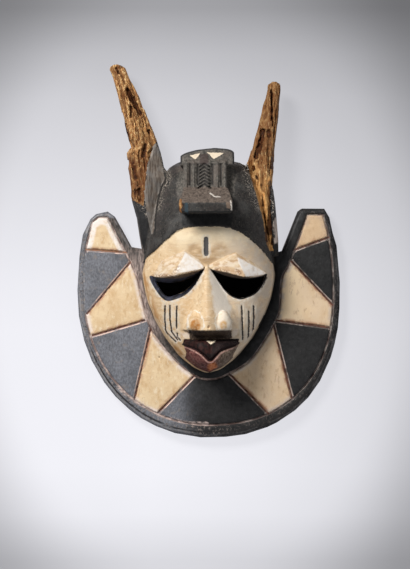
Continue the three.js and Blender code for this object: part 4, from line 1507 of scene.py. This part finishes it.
# dust and painted sheen on the left of the collar
dust_and_sheen = both(ramp(area("dust_and_sheen"), 0.0, 1.0), ramp(noise(26, 3.0), 0.3, 0.6, 0.7, 1.0))
paint = coats(black, (dust_and_sheen, dusty_sheen), (patch("hair", 0.5, 5), hair))
print("black, dust and hair mixed")

# %% [markdown]
# ## Cream on the collar
# The same cream goes on the six fields. It is duller and stained to the right, chalky next to
# the long lines, browner next to the spokes, and lighter beside the right cheek, a painted light
# where the head's shadow falls.

# %% Cream on the collar
to_right = area("collar right")
cream = coats(
    two_tones(broad, 0.3, 0.7, (222, 190, 146), (238, 212, 172)),
    (ramp(noise(6, 5.0, (1, 1.8, 1)), 0.5, 0.68, 0, 0.5), (206, 166, 116)),
    (ramp(noise(4, 5.0, (1, 2.2, 1)), 0.54, 0.7, 0, 0.6), (248, 232, 204)),
    (ramp(noise(1.4, 3.0), 0.64, 0.72, 0, 0.5), (250, 238, 214)),
    (ramp(speck, 0.68, 0.76, 0, 0.6), (126, 92, 64)),
)
stains = both(ramp(noise(5, 5.0, (1, 2, 1), 0.65), 0.54, 0.66), to_right)
beside_spokes = both(ramp(area("spokes"), 6, 1.5), ramp(noise(8, 4.0), 0.42, 0.6, 0.1, 0.9))
beside_rings = both(ramp(area("rings"), 8, 2.5), ramp(noise(9, 4.0), 0.36, 0.56, 0.2, 1))
tip_chalk = both(area("left tip"), ramp(area("rings"), 9, 5.5))
collar_cream = coats(
    cream,
    (both(to_right, ramp(broad, 0.3, 0.7, 0.5, 0.9)), (222, 196, 166)),
    # painted light on the cream beside the right cheek
    (both(area("painted light beside the cheek"), 0.8), (252, 226, 186)),
    (both(stains, 0.45), (176, 136, 100)),
    (beside_spokes, (178, 128, 98)),
    (beside_rings, mix(to_right, (244, 228, 216), (206, 188, 172))),
    (both(tip_chalk, ramp(noise(6, 4.0), 0.3, 0.55, 0.4, 0.95)), (248, 238, 230)),
    (both(area("right tip"), ramp(broad, 0.3, 0.7, 0.5, 0.8)), (196, 160, 122)),
)
paint = coats(paint, (patch("collar cream", 0.9, 7), collar_cream))
print("collar cream mixed")

# %% [markdown]
# ## Skin
# The face has much the same cream, brushed across, so its noise is drawn out sideways. It is brown
# at the left edge, greyer on the right, dirty on the brow and chalky below the eyes. Its top is
# lightened with painted light where the ledge's shadow falls, and the chalk on the nose's right
# side also stands in for light there.

# %% Skin
right_side = area("right of face")
brow_dirt = both(ramp(area("brow dirt"), -3, 7), ramp(noise(8, 4.0, (2.5, 1, 1)), 0.36, 0.6, 0.1, 0.6))
near_eye = both(ramp(area("eye"), 6, 1.5), area("below eyes"))
skin = coats(
    two_tones(broad, 0.3, 0.7, (220, 188, 146), (234, 206, 166)),
    (ramp(noise(6, 5.0, (4, 1, 1), 0.65), 0.48, 0.64, 0, 0.5), (190, 150, 104)),
    (ramp(noise(3.5, 5.0, (3, 1, 1), 0.6), 0.52, 0.66, 0, 0.5), (244, 228, 202)),
    (ramp(speck, 0.68, 0.76, 0, 0.6), (126, 92, 64)),
    # painted light on the top of the forehead
    (both(area("painted light on the forehead top"), ramp(broad, 0.3, 0.65, 0.45, 0.85)), (252, 234, 200)),
    (both(ramp(area("side stain"), 2, 12), ramp(noise(9, 4.0, (1, 2, 1)), 0.4, 0.6)), (194, 142, 84)),
    (both(right_side, ramp(noise(12, 4.0), 0.3, 0.6, 0.3, 0.8)), (206, 192, 176)),
    (brow_dirt, (160, 118, 76)),
    (both(near_eye, ramp(noise(5, 4.0), 0.36, 0.56)), (232, 222, 208)),
    # chalk and painted light on the nose's sides
    (both(patch("nose chalk and painted light", 4.0, 7, 2.5), 0.75), (252, 244, 232)),
    (both(patch("pale corners", 2.0, 4, 2.0), 0.6), (246, 232, 218)),
)
print("skin mixed")

# %% [markdown]
# ## The wings of the nose, the cuts and the jaw
# The wings' orange hearts sit in a pale ring, and the right wing is paler. Between the cuts
# the cream is chalky, and the dark strokes at the jaw have a pale border.

# %% Wings, cuts and jaw
lobe_edge = calc("ADD", area("lobes"), ramp(noise(6), 0.3, 0.7, -1.2, 1.2))
pale_ring = ramp(calc("ABSOLUTE", lobe_edge), 1.8, 0.3)
right_lobe = both(ramp(area("lobes"), 0, 2), ramp(right_side, 0.1, 0.25))
heart = two_tones(right_side, 0.1, 0.25, (186, 124, 58), (210, 168, 116))
jaw = area("jaw strokes")
skin = coats(
    skin,
    (both(pale_ring, ramp(noise(5, 4.0), 0.36, 0.56, 0, 0.85)), (244, 236, 222)),
    (both(right_lobe, ramp(noise(4, 4.0), 0.34, 0.56, 0.4, 0.9)), (236, 224, 206)),
    (both(ramp(area("lobe hearts"), 0, 3), ramp(noise(5, 4.0), 0.34, 0.6, 0.4, 1)), heart),
    (both(ramp(area("marks"), -5, -1.4), ramp(noise(3, 4.0, (1, 6, 1)), 0.4, 0.55, 0, 0.8)), (226, 214, 196)),
    (both(ramp(jaw, 3.5, 1.5), ramp(noise(4, 4.0), 0.4, 0.56, 0, 0.8)), (236, 226, 212)),
    (both(ramp(jaw, 1.5, 0.5), ramp(noise(6, 4.0), 0.36, 0.5, 0.45, 1)), (54, 38, 30)),
)
paint = coats(paint, (patch("skin", 2.2, 5), skin))
print("face painted")

# %% [markdown]
# ## The lids
# Dull cream strokes run across the lids, the white facets lie over them, and dirt on top.

# %% Lids
lid = coats(
    two_tones(noise(7, 5.0, (2.5, 1, 1), 0.7), 0.42, 0.62, (214, 188, 152), (190, 156, 120)),
    (ramp(noise(6, 4.0, (2, 1, 1)), 0.45, 0.6, 0, 0.8), (226, 210, 188)),
)
facet = two_tones(noise(5, 4.0), 0.4, 0.7, (245, 238, 231), (232, 217, 199))
paint = coats(
    paint,
    (patch("lids", 1.2, 6, 0.8), lid),
    (patch("white facets", 1.6, 5, 0.8), facet),
    (both(ramp(area("lid dirt"), -1, 3), ramp(noise(2.4, 4.0), 0.42, 0.56, 0, 0.8)), (126, 84, 50)),
)
print("lids painted")

# %% [markdown]
# ## Lines round the fields
# The black side of each field has a thin light border, the long lines are pale beside a broken
# dark middle, and the spokes are reddish brown. Wear has left pale and dark marks on the rim,
# and the pale line along its edge is partly a painted highlight.

# %% Lines and worn rim
rim_noise = noise(2.6, 5.0, (1, 4, 1), 0.65)
dark_rim_noise = noise(2.6, 5.0, (1, 3, 1), 0.65)
pale_rim = two_tones(rim_noise, 0.38, 0.62, (104, 90, 86), (182, 164, 156))
dark_rim = two_tones(dark_rim_noise, 0.38, 0.62, (52, 50, 48), (108, 98, 93))
border = ramp(calc("ABSOLUTE", calc("ADD", area("collar cream"), 2.2)), 1.1, 0.3)
border = both(both(border, ramp(area("spokes"), 4, 3.4)), ramp(noise(14, 4.0), 0.4, 0.56, 0.2, 1))
upper_left = both(area("upward"), ramp(to_right, 0.2, 0, 0, 1.1))
spoke_tone = mix(upper_left, two_tones(noise(6, 3.0), 0.4, 0.6, (76, 40, 30), (122, 78, 62)), (166, 120, 90))
worn = patch("worn rim", 1.2, 6, 1.0)
worn_light = both(worn, ramp(noise(2.6, 5.0, (1, 1.4, 1), 0.7), 0.52, 0.64, 0, 0.8))
worn_dark = both(worn, ramp(noise(3.4, 5.0, (1.4, 1, 1), 0.7), 0.47, 0.36, 0, 0.75))
rings = area("rings")
ring_light = both(ramp(rings, 1.8, 0.7), ramp(noise(16, 4.0), 0.36, 0.56, 0.1, 0.9))
ring_dark = both(ramp(rings, 1.4, 0.4), ramp(noise(11, 4.0), 0.62, 0.44, 0.05, 0.8))
paint = coats(
    paint,
    (patch("inner rim", 1.2, 6, 0.8), mix(area("rim dark"), pale_rim, dark_rim)),
    (border, mix(to_right, (232, 202, 188), (188, 170, 160))),
    (ring_light, mix(to_right, (206, 186, 178), (154, 144, 138))),
    (ring_dark, mix(to_right, (92, 66, 58), (62, 32, 28))),
    (both(ramp(area("spokes"), 1.6, 0.6), ramp(noise(7, 3.0), 0.36, 0.5, 0.5, 1)), spoke_tone),
    (both(patch("scuff", 2.4, 7, 1.0), ramp(noise(3, 4.0, (2, 1, 1)), 0.4, 0.54, 0, 0.85)), (204, 184, 176)),
    (both(worn_light, ramp(to_right, 0, 0.6, 1, 0.35)), (150, 136, 128)),
    (worn_dark, (30, 27, 27)),
    (both(ramp(area("rim line"), 1.8, 0.5), ramp(noise(14, 3.0), 0.34, 0.5, 0.4, 1)), (24, 20, 20)),
    # painted highlight along the rounded rim, partly worn paint
    (both(patch("edge wear and highlight", 1.4, 6, 0.6), ramp(area("dust_and_sheen"), 0, 1, 0.15, 0.6)), (160, 158, 160)),
)
print("lines painted")

# %% [markdown]
# ## Lips
# The upper lip is brown black. The lower lip turns from dull red to grey brown towards the
# right, and a pink line, a painted highlight on its edge, follows the mouth on it.

# %% Lips
lip = coats(
    two_tones(noise(4, 4.0, (1, 2, 1)), 0.35, 0.65, (16, 7, 6), (54, 27, 24)),
    (ramp(right_side, 0.05, 0.4), two_tones(mottle, 0.4, 0.65, (24, 15, 15), (46, 32, 31))),
)
# painted highlight: a pink line on the lower lip just under the mouth line
pink_highlight_line = ramp(calc("ABSOLUTE", calc("SUBTRACT", area("mouth"), 3)), 1.4, 0.3)
chin = coats(
    two_tones(mottle, 0.35, 0.68, (82, 44, 41), (130, 86, 80)),
    (ramp(noise(5, 4.0), 0.5, 0.68, 0, 0.7), (58, 34, 28)),
    (ramp(right_side, 0.12, 0.4), two_tones(mottle, 0.35, 0.65, (82, 66, 54), (134, 118, 104))),
    (ramp(area("orange spot"), -2, 3), two_tones(mottle, 0.35, 0.65, (168, 92, 40), (214, 138, 96))),
    (both(pink_highlight_line, ramp(noise(5, 3.0), 0.36, 0.56, 0.2, 0.9)), (192, 152, 140)),
)
paint = coats(
    paint,
    (patch("upper lip", 1.0, 4), lip),
    (patch("lower lip", 1.0, 4), chin),
    (ramp(area("mouth"), 2.2, 0.8), (38, 20, 20)),
)
print("lips painted")

# %% [markdown]
# ## Dark and chalky details
# The gap beside the right cheek is darkened with painted shade, and the cuts are dark. The left
# eye has a blue-black rim and the right one a black one.

# %% Marks, chalk and the eyes' rims
mark_tone = mix(ramp(area("forehead mark"), 0, 1), (44, 34, 32), (84, 82, 82))
blue_black = two_tones(noise(7), 0.4, 0.6, (24, 24, 30), (58, 60, 78))
rim_of_eye = mix(area("left of face"), (14, 12, 12), blue_black)
chalk_spots = patch("chalk", 1.0, 4)
paint = coats(
    paint,
    # painted shade in the gap beyond the right cheek, near black
    (both(area("painted shade beyond the cheek"), 0.75), (7, 6, 5)),
    (patch("marks", 0.9, 3, 0.5), mark_tone),
    (chalk_spots, (240, 222, 196)),
    # painted shade under the lids and the nose, dull dark brown
    (patch("shaded_undersides", 1.6, 3, 0.8), two_tones(mottle, 0.35, 0.65, (52, 40, 32), (98, 80, 66))),
    (ramp(area("eye"), 0.9, 0.3), rim_of_eye),
)
print("details painted")

# %% [markdown]
# ## The crest
# The crest's own tone covers all but the chalk triangles. Its cuts are dark, and the ledge has
# two pale scratches.

# %% Crest
crest_paint = coats(
    two_tones(mottle, 0.34, 0.68, (52, 50, 46), (112, 106, 98)),
    (ramp(broad, 0.48, 0.66, 0, 0.5), (96, 84, 76)),
)
paint = coats(
    paint,
    (both(area("crest"), calc("SUBTRACT", 1.0, chalk_spots)), crest_paint),
    (patch("band edge", 0.8, 4, 0.8), (40, 38, 38)),
    (both(patch("between triangles", 1.2, 4, 0.8), 0.8), (60, 44, 40)),
    (patch("ledge top", 1.2, 5, 0.8), two_tones(mottle, 0.35, 0.66, (70, 60, 53), (118, 104, 93))),
    # painted shade under the ledge, near black
    (patch("painted shade under the ledge", 1.0, 5, 0.8), two_tones(mottle, 0.4, 0.7, (12, 12, 12), (34, 33, 33))),
    (both(patch("blue spot", 1.4, 3, 0.6), 0.8), (46, 66, 76)),
    (both(patch("brown spot", 1.6, 3, 0.6), 0.8), (120, 100, 84)),
    (ramp(area("crest cuts"), 1.8, 0.5, 0, 0.85), (26, 22, 20)),
    (both(patch("scratches", 0.6, 3), 0.85), (208, 200, 190)),
)
print("crest painted")

# %% [markdown]
# ## Horns and inside
# Pale flecks lie on the cap next to the horns, a dark seam parts the left horn from the head,
# and the bare faces show the wood. The inside is wood too, browned by age.

# %% Horns and inside
fleck = both(ramp(area("near horns"), 15, 1), ramp(noise(1.8, 3.0), 0.53, 0.61))
grey_fibres = coats(
    two_tones(noise(2.2, 5.0, (1, 9, 3), 0.65), 0.36, 0.64, (92, 78, 66), (142, 132, 122)),
    (ramp(broad, 0.4, 0.7, 0, 0.5), (124, 126, 128)),
)
paint = coats(
    paint,
    # painted highlight along the right horn's outer edge, on bare wood
    (both(patch("pale strip highlight", 4.0, 6, 1.5), ramp(grain, 0.36, 0.56, 0.3, 0.9)), (226, 208, 196)),
    (fleck, (196, 184, 170)),
    (ramp(area("seam"), 2.4, 1.0, 0, 0.9), (20, 17, 14)),
    (patch("grey", 1.4, 5), grey_fibres),
    (patch("bare", 2.0, 4), wood),
    (patch("edge strip", 1.4, 5), (54, 34, 28)),
    (ramp(area("hollow"), -1, 1), two_tones(grain, 0.3, 0.7, (70, 48, 32), (120, 86, 56))),
)
print("all paint mixed,", len(tree.nodes), "nodes")

# %% [markdown]
# ## Surface
# Earth paint is matt and slightly grainy. The fine relief that is too small for the mesh is a
# bump: brush hairs, wood grain where it is bare, and the close hatching on the cap of hair.
# Lips, bare wood and the gap beside the cheek are the dullest, so they mirror less light.

# %% Finish the material
def add_all(first, *others):
    for other in others:
        first = calc("ADD", first, other)
    return first


relief = add_all(
    both(noise(1.1, 4.0), 0.5),
    both(noise(5, 3.0), 0.8),
    both(noise(1.3, 2.0, (1, 4, 1)), patch("hair", 0.5, 5)),
    both(grain, both(patch("bare", 2.0, 5), 2.5)),
    both(mottle, 0.7),
)
bump = node("ShaderNodeBump", {}, {"Height": relief, "Strength": 0.55, "Distance": 0.0009})
dullest = calc("MAXIMUM", calc("MAXIMUM", area("upper lip"), area("lower lip")), area("bare"))
gloss = calc("SUBTRACT", ramp(dullest, -1, 1, 0.5, 0.18), both(area("painted shade beyond the cheek"), 0.35))
finish_material({
    "Base Color": paint, "Roughness": ramp(noise(7, 4.0), 0.3, 0.7, 0.58, 0.8),
    "Specular IOR Level": gloss, "Normal": bump.outputs[0],
})
print("painted wood:", len(tree.nodes), "nodes")

# %% [markdown]
# ## The studio lights
# A mask that can't stand lies on its back, and the camera hangs above it. The shadows on the
# mask fall down and a little to the right, so the main light is a panel above the mask and to
# its left. A large weak panel on the other side keeps the shadows open.

# %% Lights
AIM = Vector((0, 0, 0.03))


def panel_light(name, spot, size, watts, tint):
    lamp = bpy.data.lights.new(name, "AREA")
    lamp.size = size
    lamp.energy = watts
    lamp.color = tint
    holder = bpy.data.objects.new(name, lamp)
    holder.location = spot
    holder.rotation_euler = (AIM - Vector(spot)).to_track_quat("-Z", "Y").to_euler()
    bpy.context.scene.collection.objects.link(holder)
    print(name, "light,", watts, "watts")


panel_light("Key", (-0.97, 1.2, 1.65), 0.7, 54, (1.0, 0.985, 0.96))
panel_light("Fill", (1.7, -0.7, 1.9), 2.2, 11, (0.98, 0.99, 1.0))

# %% [markdown]
# ## The sheet under the mask
# The photograph shows hardly any shadow behind the mask, so the sheet glows by itself, like a
# photographer's light table. It darkens upwards, to the right and to the corners. That fall is
# given as a few levels along each axis, and their product is the brightness of a place.

# %% How the sheet's light falls off
def flat_piece(name, corners):
    flat_mesh = bpy.data.meshes.new(name.lower())
    flat_mesh.from_pydata(corners, [], [tuple(range(len(corners)))])
    piece = bpy.data.objects.new(name, flat_mesh)
    bpy.context.scene.collection.objects.link(piece)
    return piece


def fade(axis, half_size, middle, stops):
    """Brightness along one axis of the sheet, from places in mm and their levels."""
    along = node("ShaderNodeSeparateXYZ", {}, {"Vector": coordinates}).outputs[axis]
    ends = {"Value": along, "From Min": (middle - half_size) * MM, "From Max": (middle + half_size) * MM}
    curve = node("ShaderNodeValToRGB", {}, {"Fac": node("ShaderNodeMapRange", {}, ends).outputs[0]})
    for i, (spot, level) in enumerate(stops):
        position = (spot - middle + half_size) / (2 * half_size)
        stop = curve.color_ramp.elements[i] if i < 2 else curve.color_ramp.elements.new(position)
        stop.position = position
        stop.color = (level, level, level, 1)
    return curve.outputs["Color"]


def dim(first, second):
    settings = {"data_type": "RGBA", "blend_type": "MULTIPLY"}
    return node("ShaderNodeMix", settings, {0: 1.0, 6: first, 7: second}).outputs[2]


PAPER_HALF, PAPER_Z, CARD_Z = 3, -0.0004, -0.0002
paper_corners = ((-1, -1), (1, -1), (1, 1), (-1, 1))
paper = flat_piece("Paper", [(PAPER_HALF * i, PAPER_HALF * j, PAPER_Z) for i, j in paper_corners])
start_material("Pale paper", paper.data)
up_fade = fade(1, 400, -44, [
    (-417, 0.79), (-354, 0.96), (-292, 1), (-105, 0.97), (-43, 0.93), (19, 0.87), (81, 0.81),
    (144, 0.74), (206, 0.67), (268, 0.555), (330, 0.38),
])
side_fade = fade(0, 300, -5, [
    (-269, 0.98), (-215, 0.985), (-147, 0.985), (-79, 1), (-5, 0.975), (69, 0.94), (137, 0.885),
    (205, 0.83), (259, 0.775),
])
off_centre = node("ShaderNodeMapping", {"vector_type": "POINT"}, {
    "Vector": coordinates, "Location": (0.05, 0.13, 0), "Scale": (3.64, 2.62, 0),
}).outputs[0]
to_corner = node("ShaderNodeVectorMath", {"operation": "LENGTH"}, {0: off_centre}).outputs["Value"]
faded = dim(dim(up_fade, side_fade), ramp(to_corner, 0.95, 1.45, 1, 0.55))
print("sheet:", 2 * PAPER_HALF, "m wide")

# %% [markdown]
# ## Its paper
# The paper has a darker tone that takes the mask's faint shadow, and the glow is added to it.

# %% Finish the sheet
grainy = node("ShaderNodeBump", {}, {"Height": noise(0.7, 3.0), "Strength": 0.15, "Distance": 0.0002})
finish_material({
    "Base Color": dim(faded, colour(100, 100, 103)), "Roughness": 0.9, "Normal": grainy.outputs[0],
    "Emission Color": dim(faded, colour(228, 228, 234)), "Emission Strength": 1.0,
})
paper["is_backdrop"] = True
print("sheet staged")

# %% [markdown]
# ## A black card
# It lies under the hollow and keeps the sheet's own light out of the pierced eyes.

# %% Black card
CARD_CORNERS, CARD_WIDE, CARD_LONG, CARD_DOWN = 48, 0.084, 0.12, 0.03
card = flat_piece("Black card", [
    (CARD_WIDE * math.cos(angle), CARD_LONG * math.sin(angle) - CARD_DOWN, CARD_Z)
    for angle in np.linspace(0, 2 * math.pi, CARD_CORNERS, endpoint=False)
])
start_material("Black card", card.data)
card_tone = two_tones(noise(3, 3.0), 0.3, 0.7, (12, 12, 13), (22, 21, 22))
finish_material({"Base Color": card_tone, "Roughness": 0.9})
card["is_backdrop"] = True
print("card staged")

# %% [markdown]
# ## Room and camera
# A faint cool room light fills the darkest places. The lens is long and hangs 2.6 m above the
# mask, since the photograph shows almost no perspective.

# %% Room and camera
world = bpy.data.worlds.new("Pale room")
world.use_nodes = True
background = world.node_tree.nodes["Background"]
background.inputs["Color"].default_value = (0.86, 0.88, 0.92, 1)
background.inputs["Strength"].default_value = 0.2
bpy.context.scene.world = world
bpy.context.scene.view_settings.view_transform = "Standard"

camera_data = bpy.data.cameras.new("Camera")
camera_data.lens = 121.6
camera_data.sensor_width = 36
camera = bpy.data.objects.new("Camera", camera_data)
camera.location = (-0.00503, -0.0439, 2.6)
bpy.context.scene.collection.objects.link(camera)
bpy.context.scene.camera = camera
print("camera at", tuple(camera.location))

# %% [markdown]
# ## Size
# The finished mesh must be as large as the solid model, so both boxes are written down.

# %% Check the size and finish
low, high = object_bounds()
for axis in range(3):
    cad_side = cad_high[axis] - cad_low[axis]
    side = high[axis] - low[axis]
    percent = 100 * side / cad_side - 100
    print("XYZ"[axis], f"solid {cad_side / MM:.1f} mm, finished {side / MM:.1f} mm, {percent:+.2f} %")
